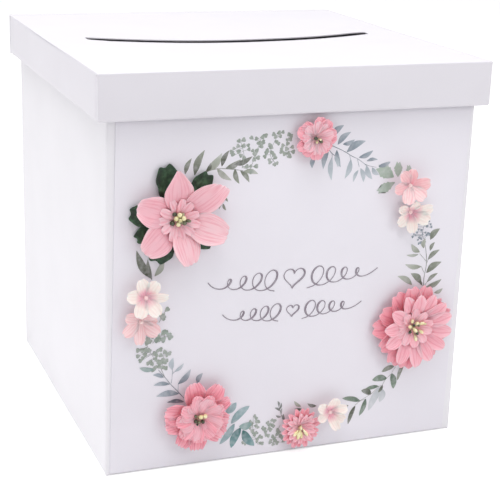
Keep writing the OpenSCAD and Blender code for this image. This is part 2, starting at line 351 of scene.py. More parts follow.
# %% [markdown]
# ## The printed panel
# A slightly thinner card is glued on the front. A cube of its size gets small bevels, and its
# corners are left nearly square, as a guillotine cuts them. The glue holds it by the middle, so
# its left rim curls back a little and catches the light from that side. It was cut by hand, nearly
# a degree out of square, so both of its upright edges lean to the right.

# %% Panel
panel_low, panel_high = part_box("front_panel")
PANEL_W, PANEL_LEAN = 233.7 * MM, 3.6 * MM
panel_left, panel_middle = -PANEL_W / 2, (panel_low + panel_high) / 2
panel = start(bpy.ops.mesh.primitive_cube_add, "print_panel", size=1, location=panel_middle,
              scale=(PANEL_W, panel_high.y - panel_low.y, panel_high.z - panel_low.z))
edit()
pick(lambda e: abs(ends(e)[0].y - ends(e)[1].y) > 1e-4, "EDGE")
bpy.ops.mesh.bevel(offset=0.8 * MM, segments=3, affect="EDGES")
pick(lambda e: all(p.y < panel_low.y + NEAR for p in ends(e)), "EDGE")
bpy.ops.mesh.bevel(offset=0.3 * MM, segments=3, affect="EDGES")
for inwards in (0.9, 1.8, 2.7, 3.6):
    cut(panel_left + inwards * MM, (1, 0, 0))
for inwards, curl in ((0.45, 0.26), (1.35, 0.2), (2.25, 0.13), (3.15, 0.05)):
    pick(lambda v: v.co.x < panel_left + inwards * MM and v.co.y < panel_low.y + 0.25 * MM)
    bpy.ops.transform.translate(value=(0, curl * MM, 0))
for side in (-1, 1):
    pick(lambda v: side * (v.co.z - panel_middle.z) > 0)
    bpy.ops.transform.translate(value=(side * PANEL_LEAN / 2, 0, 0))
done()
bpy.ops.object.shade_smooth_by_angle(angle=SMOOTH_BELOW)
dress(panel, "box", panel_card, "panel_card", "front_panel")
FACE = panel_low.y

# %% [markdown]
# ## The base flaps
# The four flaps that close the base are flat pieces of the same board, right as they come from
# the frame, so they only get the board's finish.

# %% Finish on the flaps
finish(board, "base_outer_flap", "base_inner_flap", "left_dust_flap", "right_dust_flap")

# %% [markdown]
# ## The top of the lid
# One sheet spans the whole lid, and a long slot has weakened it, so it sags by some millimetres
# in the middle while its rims stay straight, and the front lip hangs a little lower than the back
# one. A grid is cut along the slot's four edges, the faces between them are taken out, the slot's
# corners are rounded, and the strip round it is pulled down at four spots with proportional
# editing, which lets the sheet follow in one smooth, slightly uneven bowl.

# %% Lid top
top_low, top_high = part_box("lid_top")
LID_T = 0.7 * MM
EDGE_ROUND, CORNER_ROUND = 0.6 * MM, 1.2 * MM
SHEET_Z = top_high.z + 0.5 * MM
SLOT_X, SLOT_L, SLOT_W, SLOT_BACK = 2.2 * MM, 204.5 * MM, 8 * MM, 8 * MM
LIP_DROP = 0.7 * MM
lid_w = top_high.x - top_low.x
lid_top = start(bpy.ops.mesh.primitive_grid_add, "lid_top_sheet", size=lid_w,
                x_subdivisions=24, y_subdivisions=30, location=(0, 0, SHEET_Z))
edit()
for middle, half, normal in ((SLOT_X, SLOT_L / 2, (1, 0, 0)), (SLOT_BACK, SLOT_W / 2, (0, 1, 0))):
    for side in (-1, 1):
        cut(middle + side * half, normal)


def in_slot(point):
    return abs(point.x - SLOT_X) < SLOT_L / 2 and abs(point.y - SLOT_BACK) < SLOT_W / 2


pick(lambda f: in_slot(f.calc_center_median()), "FACE")
bpy.ops.mesh.delete(type="FACE")
pick(lambda v: abs(abs(v.co.x - SLOT_X) - SLOT_L / 2) < EXACT
     and abs(abs(v.co.y - SLOT_BACK) - SLOT_W / 2) < EXACT)
bpy.ops.mesh.bevel(offset=CORNER_ROUND, segments=3, affect="VERTICES")
rim = lid_w / 2 - NEAR
pick(lambda e: e.is_boundary and all(max(abs(p.x), abs(p.y)) > rim for p in ends(e)), "EDGE")
bpy.ops.mesh.extrude_region_move(TRANSFORM_OT_translate={"value": (0, 0, -2 * EDGE_ROUND)})
pick(lambda e: all(max(abs(p.x), abs(p.y)) > rim and p.z > SHEET_Z - NEAR for p in ends(e)), "EDGE")
bpy.ops.mesh.bevel(offset=EDGE_ROUND, segments=4, affect="EDGES")
for middle, sag, falloff, reach in ((0, 2.9, "INVERSE_SQUARE", 100), (30, 1.5, "SMOOTH", 118),
                                    (-60, 0.8, "SMOOTH", 90), (85, 0.45, "SMOOTH", 60)):
    pick(lambda v: abs(v.co.x - middle * MM) < 8 * MM and abs(v.co.y - SLOT_BACK) < SLOT_W)
    bpy.ops.transform.translate(value=(0, 0, -sag * MM), use_proportional_edit=True,
                                proportional_edit_falloff=falloff, proportional_size=reach * MM)
front_lip = SLOT_BACK - SLOT_W / 2
pick(lambda v: abs(v.co.x - SLOT_X) < 95 * MM and abs(v.co.y - front_lip) < 0.1 * MM)
bpy.ops.transform.translate(value=(0, 0, -LIP_DROP), use_proportional_edit=True,
                            use_proportional_connected=True, proportional_edit_falloff="SMOOTH",
                            proportional_size=24 * MM)
done()
put_modifier(lid_top, "SOLIDIFY", thickness=LID_T, offset=-1.0)
bpy.ops.object.shade_smooth_by_angle(angle=SMOOTH_BELOW)
dress(lid_top, "lid", lid_card, "lid_card", "lid_top")

# %% [markdown]
# ## The skirts
# Each skirt is a double wall: the card goes down, turns round a rolled lower edge and comes up
# again inside. That is exactly what Spin does, so one upright edge is extruded down, spun half
# round a line at the height of the roll, and extruded up. The front and back skirts run the full
# width and close the corners, and the side skirts stand between them with a hair of clearance,
# which is the fine dark line beside each corner.

# %% One rolled skirt
SKIRT_T, SKIRT_CARD = 3.2 * MM, 0.9 * MM
SKIRT_LIFT, INNER_GAP, SEAM = 0.4 * MM, 0.3 * MM, 0.02 * MM
GAP = 0.7 * MM
roll_r = SKIRT_T / 2
skirt_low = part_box("lid_front_skirt")[0].z + SKIRT_LIFT
skirt_top = SHEET_Z - 2 * EDGE_ROUND + SEAM


def rolled_skirt(name, length, corner_rounds):
    """A skirt along X that faces -Y at the lid's edge. corner_rounds is for its -X and +X corner."""
    made = start(bpy.ops.mesh.primitive_plane_add, name, size=1)
    edit()
    pick(lambda v: v.co.y > 0)
    bpy.ops.mesh.delete(type="VERT")
    pick(lambda v: True)
    bpy.ops.transform.resize(value=(length, 1, 1), center_override=(0, -0.5, 0))
    bpy.ops.transform.translate(value=(0, 0.5 - lid_w / 2, skirt_top))
    bpy.ops.mesh.subdivide(number_cuts=11)
    bpy.ops.mesh.extrude_region_move(
        TRANSFORM_OT_translate={"value": (0, 0, skirt_low + roll_r - skirt_top)})
    bpy.ops.mesh.spin(steps=8, angle=-math.pi, center=(0, roll_r - lid_w / 2, skirt_low + roll_r),
                      axis=(1, 0, 0))
    bpy.ops.mesh.extrude_region_move(
        TRANSFORM_OT_translate={"value": (0, 0, top_low.z - INNER_GAP - skirt_low - roll_r)})
    for end in (-1, 1):
        pick(lambda v: abs(v.co.x - end * length / 2) < EXACT)
        bpy.ops.mesh.edge_face_add()
    bpy.ops.mesh.select_all(action="SELECT")
    bpy.ops.mesh.remove_doubles(threshold=EXACT)
    bpy.ops.mesh.normals_make_consistent(inside=False)
    for end, radius in zip((-1, 1), corner_rounds):
        pick(lambda e: all(abs(p.x - end * length / 2) < EXACT and p.y < roll_r - lid_w / 2 + EXACT
                           for p in ends(e)), "EDGE")
        bpy.ops.mesh.bevel(offset=radius, segments=4, affect="EDGES")
    done()
    put_modifier(made, "SOLIDIFY", thickness=SKIRT_CARD, offset=-1.0)
    bpy.ops.object.shade_smooth_by_angle(angle=SMOOTH_BELOW)
    return made


def turn(piece, quarter_turns):
    """Turns a piece about the upright axis and leaves its object at the origin."""
    bpy.ops.object.select_all(action="DESELECT")
    piece.select_set(True)
    bpy.context.view_layer.objects.active = piece
    piece.rotation_euler.z = quarter_turns * math.pi / 2
    bpy.ops.object.transform_apply(rotation=True)
    return piece


front_skirt = rolled_skirt("lid_skirt_front", lid_w, (0.4 * MM, 1.2 * MM))
left_skirt = rolled_skirt("lid_skirt_left", lid_w - 2 * SKIRT_T - 2 * GAP, (0.3 * MM, 0.3 * MM))
back_skirt = turn(own_copy(front_skirt, "lid_skirt_back"), 2)
right_skirt = turn(own_copy(left_skirt, "lid_skirt_right"), 1)
turn(left_skirt, -1)
for piece, node_name in ((front_skirt, "lid_front_skirt"), (back_skirt, "lid_back_skirt"),
                         (left_skirt, "lid_left_skirt"), (right_skirt, "lid_right_skirt")):
    dress(piece, "lid", lid_card, "lid_card", node_name)

# %% [markdown]
# The four glue tabs hide between the two walls of a skirt and show only from inside, so they keep
# the frame's shape and take the card's finish.

# %% Finish on the tabs
finish(lid_card, "front_left_tab", "front_right_tab", "back_left_tab", "back_right_tab")

# %% [markdown]
# ## Petal paper
# The flowers are punched from dyed mulberry paper. Its long fibres and the press leave fine
# lengthwise veins about a millimetre apart, the dye is deeper at the foot of a petal, and the
# colour is a little paler towards the rim. Each petal carries three values for this: how far
# along it a point lies, how near the rim, and how faded that petal is. Its own UV map, in metres,
# places the veins, so they run along every petal however it is turned.

# %% Paper materials
VEIN_STRETCH = 18  # how many times longer than wide


def petal_paper(name, foot, body, rim, faded, vein, vein_mm, dyed):
    """Dyed mulberry paper: colours for the foot, the body, the rim, a faded petal and the veins.

    vein_mm is how far apart the veins are, and dyed where the foot's colour starts and ends to fade.
    """
    made, tree, shader = new_material(name, 0.8, Specular_IOR_Level=0.15, Sheen_Weight=0.05,
                                      Subsurface_Weight=0.5, Subsurface_Scale=0.8 * MM,
                                      Subsurface_Radius=(1.0, 0.6, 0.6))
    along, near_rim, fade = (add_node(tree, "Attribute", attribute_name=word).outputs["Fac"]
                             for word in ("along", "rim", "tone"))
    dye = add_node(tree, "ValToRGB", {"Fac": along})
    set_stops(dye, [(dyed[0], foot), (dyed[1], body)])
    paled = add_node(tree, "Mix", {0: near_rim, 6: dye.outputs["Color"], 7: linear(rim)},
                     data_type="RGBA")
    aged = add_node(tree, "Mix", {0: fade, 6: paled.outputs[2], 7: linear(faded)}, data_type="RGBA")
    where = add_node(tree, "UVMap").outputs["UV"]
    vein_scale = 1 / (vein_mm * MM)
    runs = add_node(tree, "Mapping", {"Vector": where,
                                      "Scale": (vein_scale, vein_scale / VEIN_STRETCH, 1)})
    ribs = add_node(tree, "TexNoise", {"Vector": runs.outputs[0], "Scale": 1.0, "Detail": 1.5})
    line = add_node(tree, "MapRange", {0: ribs.outputs["Fac"], 1: 0.56, 2: 0.36, 3: 0.0, 4: 0.6})
    lined = add_node(tree, "Mix", {0: line.outputs[0], 6: aged.outputs[2], 7: linear(vein)},
                     data_type="RGBA")
    tree.links.new(lined.outputs[2], shader.inputs["Base Color"])
    crease = add_node(tree, "Bump", {"Height": ribs.outputs["Fac"], "Distance": 0.2 * MM,
                                     "Strength": 1.0})
    place = add_node(tree, "TexCoord").outputs["Object"]
    fibre = add_node(tree, "TexNoise", {"Vector": place, "Scale": 1 / (0.7 * MM), "Detail": 2.0})
    grain = add_node(tree, "Bump", {"Height": fibre.outputs["Fac"], "Distance": 0.05 * MM,
                                    "Normal": crease.outputs["Normal"]})
    tree.links.new(grain.outputs["Normal"], shader.inputs["Normal"])
    return made


PAPERS = {}
for tint, colours, vein_mm, dyed in (
        ("pale_rose", ("#e88a9c", "#fabcc6", "#fdd3d9", "#fbd9dc", "#ed9dac"), 0.7, (0.07, 0.55)),
        ("rose", ("#ea8f9e", "#fbb8c3", "#fdcdd4", "#fbcdd4", "#ea8f9f"), 0.8, (0.07, 0.55)),
        ("deep_rose", ("#dc7082", "#f9a2b0", "#fcb9c3", "#fac0c9", "#dd7588"), 0.8, (0.07, 0.55)),
        ("salmon", ("#e89fac", "#f9c6c9", "#fcd5d6", "#fbdcdc", "#e9a8b0"), 0.9, (0.07, 0.55)),
        ("cream", ("#ea9db2", "#f8eae3", "#fcf4ee", "#f7e8e2", "#efd5d0"), 1.0, (0.24, 0.56))):
    PAPERS[tint + "_paper"] = petal_paper(tint + "_mulberry_paper", *colours, vein_mm, dyed)
print("petal papers", *PAPERS)

# %% Leaf paper
LEAF_VEINS = (700, 90, 1)  # per metre, across and along the leaf


def leaf_paper():
    """Waxed green paper, mottled where the wax lies thicker, with fine raised veins."""
    made, tree, shader = new_material("waxed_leaf_paper", 0.55, Specular_IOR_Level=0.4)
    place = add_node(tree, "TexCoord").outputs["Object"]
    patch = add_node(tree, "TexNoise", {"Vector": place, "Scale": 1 / (4 * MM), "Detail": 4.0})
    tone = add_node(tree, "ValToRGB", {"Fac": patch.outputs["Fac"]})
    set_stops(tone, [(0.36, "#18281c"), (0.52, "#27422d"), (0.68, "#46654a")])
    tree.links.new(tone.outputs["Color"], shader.inputs["Base Color"])
    where = add_node(tree, "UVMap").outputs["UV"]
    runs = add_node(tree, "Mapping", {"Vector": where, "Scale": LEAF_VEINS})
    vein = add_node(tree, "TexNoise", {"Vector": runs.outputs[0], "Scale": 1.0, "Detail": 2.0})
    bump = add_node(tree, "Bump", {"Height": vein.outputs["Fac"], "Distance": 0.2 * MM})
    tree.links.new(bump.outputs["Normal"], shader.inputs["Normal"])
    return made


PAPERS["leaf_paper"] = leaf_paper()

# %% [markdown]
# ## Petals
# A petal is cut flat, then cupped with a round tool, pleated and curled at the rim. The same
# steps work on a small grid: each column is lifted by the cup and the pleats and drawn back where
# the tip is notched, then each row is drawn in to the outline and lifted to the rise of the petal.
# Near the foot the cup fades out, because there the petal is held flat by the glue.

# %% Petal blank
COLUMNS, ROWS = 8, 10


def grid_blank(name, columns, rows):
    """A grid of 1 by 1 along +Y from its foot, with the column and the row of each vertex."""
    made = start(bpy.ops.mesh.primitive_grid_add, name, size=1, location=(0, 0.5, 0),
                 x_subdivisions=columns, y_subdivisions=rows)
    column = [round((v.co.x + 0.5) * columns) for v in made.data.vertices]
    row = [round(v.co.y * rows) for v in made.data.vertices]
    return made, column, row


def petal_blank(name, length, width, outline, rise, cup, pleat, tip=(0,) * (COLUMNS + 1)):
    """A petal along +Y from its foot, in millimetres. outline and rise run from foot to tip."""
    made, column, row = grid_blank(name, COLUMNS, ROWS)
    sides = [abs(2 * c / COLUMNS - 1) for c in column]
    shares = [r / ROWS for r in row]
    for word, values in (("along", shares), ("tone", [0.0] * len(row)),
                         ("rim", [max(s ** 5 * a, a ** 9) for s, a in zip(sides, shares)])):
        made.data.attributes.new(word, "FLOAT", "POINT").data.foreach_set("value", values)
    for corner in made.data.uv_layers.active.data:
        corner.uv = (corner.uv.x * width * MM, corner.uv.y * length * MM)
    edit()
    for i, push in enumerate(tip):
        side = 2 * i / COLUMNS - 1
        pick(lambda v: column[v.index] == i)
        lift = (cup * side * side + pleat * (i % 2)) * MM
        bpy.ops.transform.translate(value=(0, push * MM, lift))
    for j, (half, height) in enumerate(zip(outline, rise)):
        share = j / ROWS
        pick(lambda v: row[v.index] == j)
        bpy.ops.transform.resize(value=(half * width * MM, share ** 3, min(1, 1.6 * share)),
                                 center_override=(0, share, 0))
        bpy.ops.transform.translate(value=(0, share * (length * MM - 1), height * MM))
    done()
    made["length"], made["width"] = length, width
    put_away(made)
    return made


# %% [markdown]
# ## Flower layers
# A flower maker threads several punched layers over one bundle of stamens. Here each petal is a
# copy of a blank with its own turn, reach, width, lean and twist, a few of them more faded, which
# is what keeps a paper flower from looking stamped. The petals are joined, a cloud texture with
# a grain of 7 mm makes each one wavy in its own way, and the sheet gets its thickness and one
# round of subdivision.

# %% Laying out a layer
paper_wave = bpy.data.textures.new("paper_wave", "CLOUDS")
paper_wave.noise_scale = 7 * MM
paper_wave.noise_depth = 1
PAPER_T = 0.3 * MM


def face_frame(angle):
    """Axes of a thing that lies on the panel and points out at an angle: side, out, front."""
    turn_by = math.radians(angle)
    out = Vector((math.cos(turn_by), 0, math.sin(turn_by)))
    return Matrix((Vector((out.z, 0, -out.x)), out, Vector((0, -1, 0)))).transposed().to_4x4()


def flower_layer(name, node_name, paper, centre, foot, petals, wave=0.9):
    """Joins petals round a centre. A petal is (blank, angle, reach, width, lean, twist, tone)."""
    parts = []
    for blank, angle, reach, width, lean, twist, tone in petals:
        part = own_copy(blank, name)
        place = face_frame(angle)
        place.translation = Vector((centre[0] * MM, FACE - foot * MM, centre[1] * MM))
        pose = (Matrix.Rotation(math.radians(lean), 4, "X")
                @ Matrix.Rotation(math.radians(twist), 4, "Y"))
        stretch = Matrix.Diagonal((width / blank["width"], reach / blank["length"], 1, 1))
        part.data.transform(place @ pose @ stretch)
        values = part.data.attributes["tone"].data
        values.foreach_set("value", [tone] * len(values))
        parts.append(part)
    made = join_as(name, parts)
    put_modifier(made, "DISPLACE", texture=paper_wave, strength=wave * MM, mid_level=0.5,
                 texture_coords="LOCAL")
    put_modifier(made, "SOLIDIFY", thickness=PAPER_T, offset=0.0)
    put_modifier(made, "SUBSURF", levels=1, render_levels=1)
    bpy.ops.object.shade_smooth()
    dress(made, "box", PAPERS[paper], paper, node_name)


def all_of(blank, *petals):
    """Petals from one blank. A petal is (angle, reach, width, lean, twist, tone)."""
    return [(blank, *petal) for petal in petals]


def ring_of(blank, count, first, reach, width, lean, twist, seed, tones):
    """Petals evenly round a ring, each a little off in turn, size and tilt."""
    chance = random.Random(seed)
    return [(blank, first + 360 * i / count + chance.uniform(-3, 3),
             reach * chance.uniform(0.95, 1.04), width * chance.uniform(0.92, 1.08),
             lean + chance.uniform(-3, 3), twist + chance.uniform(-5, 5), chance.uniform(*tones))
            for i in range(count)]


# %% [markdown]
# ## The lily
# Six broad veined petals lie over lobed green leaves, with a collar of eleven narrow petals
# round the stamens. The broad ones are long enough to be seen one by one, so they are placed
# singly: four with a toothed end, a pointed one at the top and one cut slanting at the upper right.

# %% Lily petals and leaves
LILY = (-78.3, 164.8)
BLUNT = (0.2, 0.37, 0.55, 0.71, 0.86, 0.98, 1.0, 0.97, 0.88, 0.75, 0.6)
SPADE = (0.2, 0.36, 0.54, 0.72, 0.88, 0.99, 1.0, 0.87, 0.66, 0.4, 0.12)
SLIM = (0.45, 0.56, 0.66, 0.76, 0.86, 0.94, 1.0, 1.0, 0.94, 0.8, 0.54)
low_rise = (0, 0.7, 1.5, 2.4, 3.2, 3.9, 4.4, 4.7, 4.8, 4.7, 4.3)
toothed = petal_blank("toothed_petal", 29, 18, BLUNT, low_rise, cup=1.8, pleat=0.12,
                      tip=(-1.8, -0.4, -1.0, 0.5, -0.6, 0.7, -0.8, -0.2, -2.2))
slanted = petal_blank("slanted_petal", 33, 18, BLUNT, low_rise, cup=1.6, pleat=0.12,
                      tip=(-4.6, -3.0, -2.8, -1.0, -1.2, 0.4, 0.2, 1.2, 0.4))
pointed = petal_blank("pointed_petal", 30, 18, SPADE, low_rise, cup=2.0, pleat=0.12)
collar = petal_blank("collar_petal", 13, 4.4, SLIM,
                     (0, 0.6, 1.1, 1.6, 2.0, 2.4, 2.7, 2.9, 3.0, 3.1, 3.1), cup=0.5, pleat=0.08)
lobed = petal_blank("lobed_leaf", 33, 15,
                    (0.2, 0.3, 0.42, 0.58, 0.78, 0.95, 1.0, 0.88, 1.0, 0.96, 0.8),
                    (0, 0.1, 0.2, 0.4, 0.6, 0.8, 0.9, 0.8, 0.6, 0.4, 0.2), cup=0.5, pleat=0.2,
                    tip=(-5.0, -2.0, 0.2, -0.8, -1.8, -0.6, 0.6, -1.4, -4.5))
flower_layer("lily_broad_petals", "lily_petals", "pale_rose_paper", LILY, 1.8, [
    (toothed, 159, 28.4, 20, 3, 4, 0.0), (toothed, 281, 29.5, 18, 6, -12, 0.4),
    (toothed, 219, 29, 21, 3, -3, 0.05), (pointed, 94, 31, 19, 4, 3, 0.1),
    (toothed, -21, 32.6, 20, 5, -5, 0.5), (slanted, 39, 34.4, 19, 5, 5, 0.2)])
flower_layer("lily_collar_petals", "lily_inner_petals", "rose_paper", LILY, 3.0,
             ring_of(collar, 11, 84, 13.4, 5.4, 3, 4, seed=3, tones=(0.3, 0.8)), wave=0.5)
flower_layer("lily_leaves_lobed", "lily_leaves", "leaf_paper", LILY, 1.0, all_of(lobed,
    (104, 34, 16, 1, 5, 0), (53, 33.5, 14, 1, 5, 0), (171, 30, 15, 1, -4, 0),
    (244, 30, 17, 1, 3, 0), (322, 30, 15, 0, 4, 0), (205, 28, 12, 0, 4, 0)), wave=1.2)

# %% [markdown]
# ## The gerbera
# The largest flower has three layers: a deep scalloped one at the back, thirteen spoon-shaped
# petals that stand forward, and a ring of short ones round the stamens. The deep colour of the
# back layer shows between the spoons and draws each of them.

# %% Gerbera layers
GERBERA = (84.2, 80.0)
SPOON = (0.3, 0.42, 0.55, 0.68, 0.8, 0.9, 0.97, 1.0, 0.97, 0.84, 0.54)
scallop = petal_blank("scallop_petal", 29, 14,
                      (0.3, 0.42, 0.54, 0.66, 0.78, 0.88, 0.95, 1.0, 0.98, 0.88, 0.66),
                      (0, 0.3, 0.6, 0.9, 1.2, 1.5, 1.8, 2.0, 2.1, 2.0, 1.7), cup=1.2, pleat=0.35,
                      tip=(-2.4, -0.3, 0.3, -0.4, -1.8, -0.4, 0.3, -0.3, -2.4))
spoon = petal_blank("spoon_petal", 27, 9, SPOON,
                    (0, 0.8, 1.6, 2.5, 3.4, 4.3, 5.0, 5.6, 6.0, 6.2, 6.1), cup=1.0, pleat=0.08,
                    tip=(-1.8, -0.7, -0.1, -0.3, 0.8, -0.3, -0.1, -0.7, -1.8))
short_spoon = petal_blank("short_spoon_petal", 15, 6.4, SPOON,
                          (0, 0.6, 1.2, 1.8, 2.4, 3.0, 3.5, 3.9, 4.2, 4.4, 4.4), cup=0.8,
                          pleat=0.08, tip=(-1.0, -0.2, 0, 0.1, 0.4, 0.1, 0, -0.2, -1.0))
flower_layer("gerbera_scalloped_layer", "gerbera_rear_petals", "deep_rose_paper", GERBERA, 1.5,
             ring_of(scallop, 13, 97, 28.0, 14.5, 2, 5, seed=5, tones=(0, 0.5)), wave=1.2)
flower_layer("gerbera_spoon_petals", "gerbera_middle_petals", "rose_paper", GERBERA, 2.0, all_of(spoon,
    (112, 24.5, 9.8, 3, 6, 0.1), (87, 24, 9.8, 4, 4, 0.2), (61, 25.5, 10, 0, 5, 0.1),
    (36, 26.5, 9.8, 0, 3, 0), (14, 27, 10, 0, -3, 0.1), (-9, 27.5, 10.2, 0, 4, 0.2),
    (-34, 27.5, 9.8, 0, 5, 0), (-61, 27, 10, 0, 3, 0.1), (-86, 27.5, 10.4, 0, -4, 0.1),
    (-114, 26, 9.8, 1, 4, 0), (207, 24, 10.2, 4, 5, 0.2), (177, 23.5, 9.8, 4, 4, 0.1),
    (146, 23, 9.8, 5, 6, 0)), wave=0.7)
flower_layer("gerbera_crown_petals", "gerbera_front_petals", "rose_paper", GERBERA, 3.0,
             ring_of(short_spoon, 10, 92, 13.4, 6.8, 1, 5, seed=8, tones=(0.1, 0.5)), wave=0.5)

# %% [markdown]
# ## The peony
# The peony is the most crinkled flower. Big wavy lobes lie at the back, a ruffled layer follows,
# and eight overlapping petals with fine pleats make a shallow bowl in front. Deeper pleats and an
# uneven rim give the ruffles.

# %% Peony layers
PEONY = (-62.6, 35.2)
FANNED = (0.22, 0.38, 0.54, 0.68, 0.8, 0.9, 0.97, 1.0, 0.98, 0.9, 0.74)
ruffled = petal_blank("ruffled_petal", 24, 19, FANNED,
                      (0, 0.4, 0.8, 1.2, 1.6, 2.0, 2.3, 2.5, 2.6, 2.5, 2.2), cup=1.4, pleat=1.0,
                      tip=(-3.4, 0.4, -1.8, 0.9, -1.4, 1.0, -2.0, 0.5, -3.0))
crinkled = petal_blank("crinkled_petal", 19, 14, FANNED,
                       (0, 0.8, 1.5, 2.2, 2.9, 3.5, 4.0, 4.4, 4.7, 4.8, 4.6), cup=1.6, pleat=1.1,
                       tip=(-2.4, 0.3, -1.4, 0.6, -1.0, 0.7, -1.5, 0.3, -2.2))
bowl = petal_blank("bowl_petal", 15.5, 14.5, FANNED,
                   (0, 0.8, 1.5, 2.1, 2.7, 3.2, 3.6, 3.9, 4.1, 4.2, 4.1), cup=0.6, pleat=0.6,
                   tip=(-2.0, -0.3, -0.8, 0.3, -0.4, 0.4, -0.7, -0.3, -1.8))
flower_layer("peony_wavy_lobes", "peony_rear_petals", "deep_rose_paper", PEONY, 1.5, all_of(ruffled,
    (103, 24.6, 15, 4, 5, 0.3), (56, 25, 12.5, 4, -6, 0.2), (29, 23, 10.5, 5, 8, 0.2),
    (168, 23.8, 14.5, 4, 4, 0.3), (192, 23, 13, 4, 4, 0.4), (266, 23, 13.5, 3, -5, 0.2),
    (236, 22.6, 12.5, 4, 5, 0.2), (-42, 21.6, 15, 7, 5, 0.7), (-12, 20.6, 14, 7, 5, 0.6)), wave=1.8)
flower_layer("peony_crinkled_layer", "peony_middle_petals", "deep_rose_paper", PEONY, 2.2,
             ring_of(crinkled, 9, 68, 17, 9.5, 6, 8, seed=12, tones=(0.3, 0.8)), wave=1.8)
flower_layer("peony_bowl_petals", "peony_front_petals", "rose_paper", PEONY, 3.4, all_of(bowl,
    (62, 14.4, 13, 4, 3, 0.3), (110, 13.8, 13, 4, 3, 0.2), (152, 13.8, 12.5, 4, 3, 0.2),
    (194, 14.6, 12.5, 4, 3, 0.3), (240, 15.2, 14, 3, 2, 0.2), (287, 15.8, 13.5, 3, 2, 0.2),
    (330, 15.8, 14, 4, 3, 0.3), (18, 15.4, 13.5, 4, 3, 0.3)), wave=1.2)

# %% [markdown]
# ## The primrose and the aster
# Both are small two-layer flowers. The primrose has rounded ribbed lobes, for which it needs two
# more blanks, and both layers of the aster are narrow pointed rays from one blank.

# %% Primrose
PRIMROSE = (9.6, 209.6)
ribbed = petal_blank("ribbed_petal", 14, 9.5, FANNED,
                     (0, 0.3, 0.6, 0.9, 1.2, 1.5, 1.8, 2.0, 2.1, 2.1, 1.9), cup=0.9, pleat=0.6,
                     tip=(-1.5, -0.4, -0.3, 0.2, -0.6, 0.2, -0.4, -0.3, -1.5))
lobe = petal_blank("lobe_petal", 11, 7.4, FANNED,
                   (0, 0.5, 0.9, 1.3, 1.6, 1.9, 2.1, 2.3, 2.4, 2.4, 2.3), cup=0.7, pleat=0.3,
                   tip=(-1.6, -0.4, -0.1, 0.1, -0.4, 0.1, -0.1, -0.4, -1.6))
rear_petals = all_of(ribbed,
    (158, 14.8, 9.5, 4, 5, 0.5), (132, 13.8, 8, 4, -5, 0.4), (84, 13.8, 9, 5, 5, 0.4),
    (55, 13.8, 9, 5, 5, 0.5), (8, 13.4, 11, 4, 5, 0.6), (-40, 12, 9, 3, 5, 0.4),
    (270, 13.8, 9.5, 4, 5, 0.6), (232, 13.6, 8, 4, 5, 0.5), (205, 14.6, 8, 4, 5, 0.5))
flower_layer("primrose_ribbed_layer", "primrose_rear_petals", "deep_rose_paper", PRIMROSE, 1.5,
             rear_petals)
flower_layer("primrose_lobes", "primrose_front_petals", "rose_paper", PRIMROSE, 2.2,
             ring_of(lobe, 9, 95, 10.8, 7.4, 2, 5, seed=21, tones=(0.4, 0.9)), wave=0.7)

# %% Aster
ASTER = (7.2, 18.4)
RAY = (0.5, 0.62, 0.73, 0.84, 0.93, 1.0, 1.0, 0.95, 0.84, 0.64, 0.34)
ray = petal_blank("ray_petal", 14, 4.2, RAY, (0, 0.5, 0.9, 1.3, 1.6, 1.9, 2.2, 2.4, 2.5, 2.5, 2.4),
                  cup=0.7, pleat=0.25)
flower_layer("aster_long_rays", "aster_rear_petals", "deep_rose_paper", ASTER, 1.5,
             ring_of(ray, 18, 90, 14.2, 4.8, 3, 8, seed=31, tones=(0.1, 0.7)), wave=1.3)
flower_layer("aster_short_rays", "aster_front_petals", "rose_paper", ASTER, 2.2,
             ring_of(ray, 15, 76, 11, 4.2, 7, 8, seed=32, tones=(0.1, 0.6)), wave=1.3)

# %% [markdown]
# ## The small blossoms
# Five little cherry blossoms, two salmon and three cream, fill the ring. Some petals stand up and
# show their side, others fold back, so each blossom lists its own petals. The cream ones are
# dyed pink only in the middle.

# %% Five blossoms
ROUNDED = (0.34, 0.5, 0.65, 0.79, 0.91, 0.98, 1.0, 1.0, 0.96, 0.86, 0.62)
blossom = petal_blank("blossom_petal", 13, 8.6, ROUNDED,
                      (0, 0.5, 0.9, 1.3, 1.7, 2.0, 2.3, 2.5, 2.6, 2.6, 2.5), cup=0.9, pleat=0.1,
                      tip=(-0.9, 0, 0.2, 0.1, -0.4, 0.1, 0.2, 0, -0.9))
FULLNESS = 1.12


def small_blossom(name, node_name, paper, centre, foot, *petals):
    """A single layer, cut full. A petal is (angle, reach, width, lean, twist, tone)."""
    flower_layer(name, node_name, paper, centre, foot, all_of(blossom, *(
        (angle, reach, FULLNESS * width, *rest) for angle, reach, width, *rest in petals)))


small_blossom("salmon_petals_right", "pink_blossom_right", "salmon_paper", (74.9, 176.2), 4.6,
    (131, 12.8, 7.6, 6, 5, 0.1), (87, 12, 6.4, 8, -22, 0), (12, 13, 8.4, 6, 8, 0.2),
    (184, 13, 7.6, 6, -6, 0.1), (252, 12.4, 8.4, 12, 8, 0.9), (314, 12.8, 8.4, 10, -8, 1.0))
small_blossom("cream_petals_right", "cream_blossom_right", "cream_paper", (78.2, 158.0), 1.6,
    (13, 14.6, 7.4, 5, 10, 0), (-29, 14, 8.4, 4, -5, 0), (-88, 13.6, 7, 4, 6, 0),
    (213, 12.6, 7.8, 4, -8, 0), (165, 10.5, 6, 4, 6, 0.3), (70, 8, 6, 3, 6, 0.3))
small_blossom("cream_petals_left", "cream_blossom_left", "cream_paper", (-98.6, 117.9), 4.6,
    (107, 13.2, 7.8, 5, 4, 0), (54, 12.6, 7.8, 5, -6, 0), (5, 14.2, 6, 7, 12, 0.1),
    (168, 12.4, 8, 5, 6, 0), (247, 13, 8.2, 10, 6, 0.2), (304, 14.2, 8.2, 9, -8, 0.2))
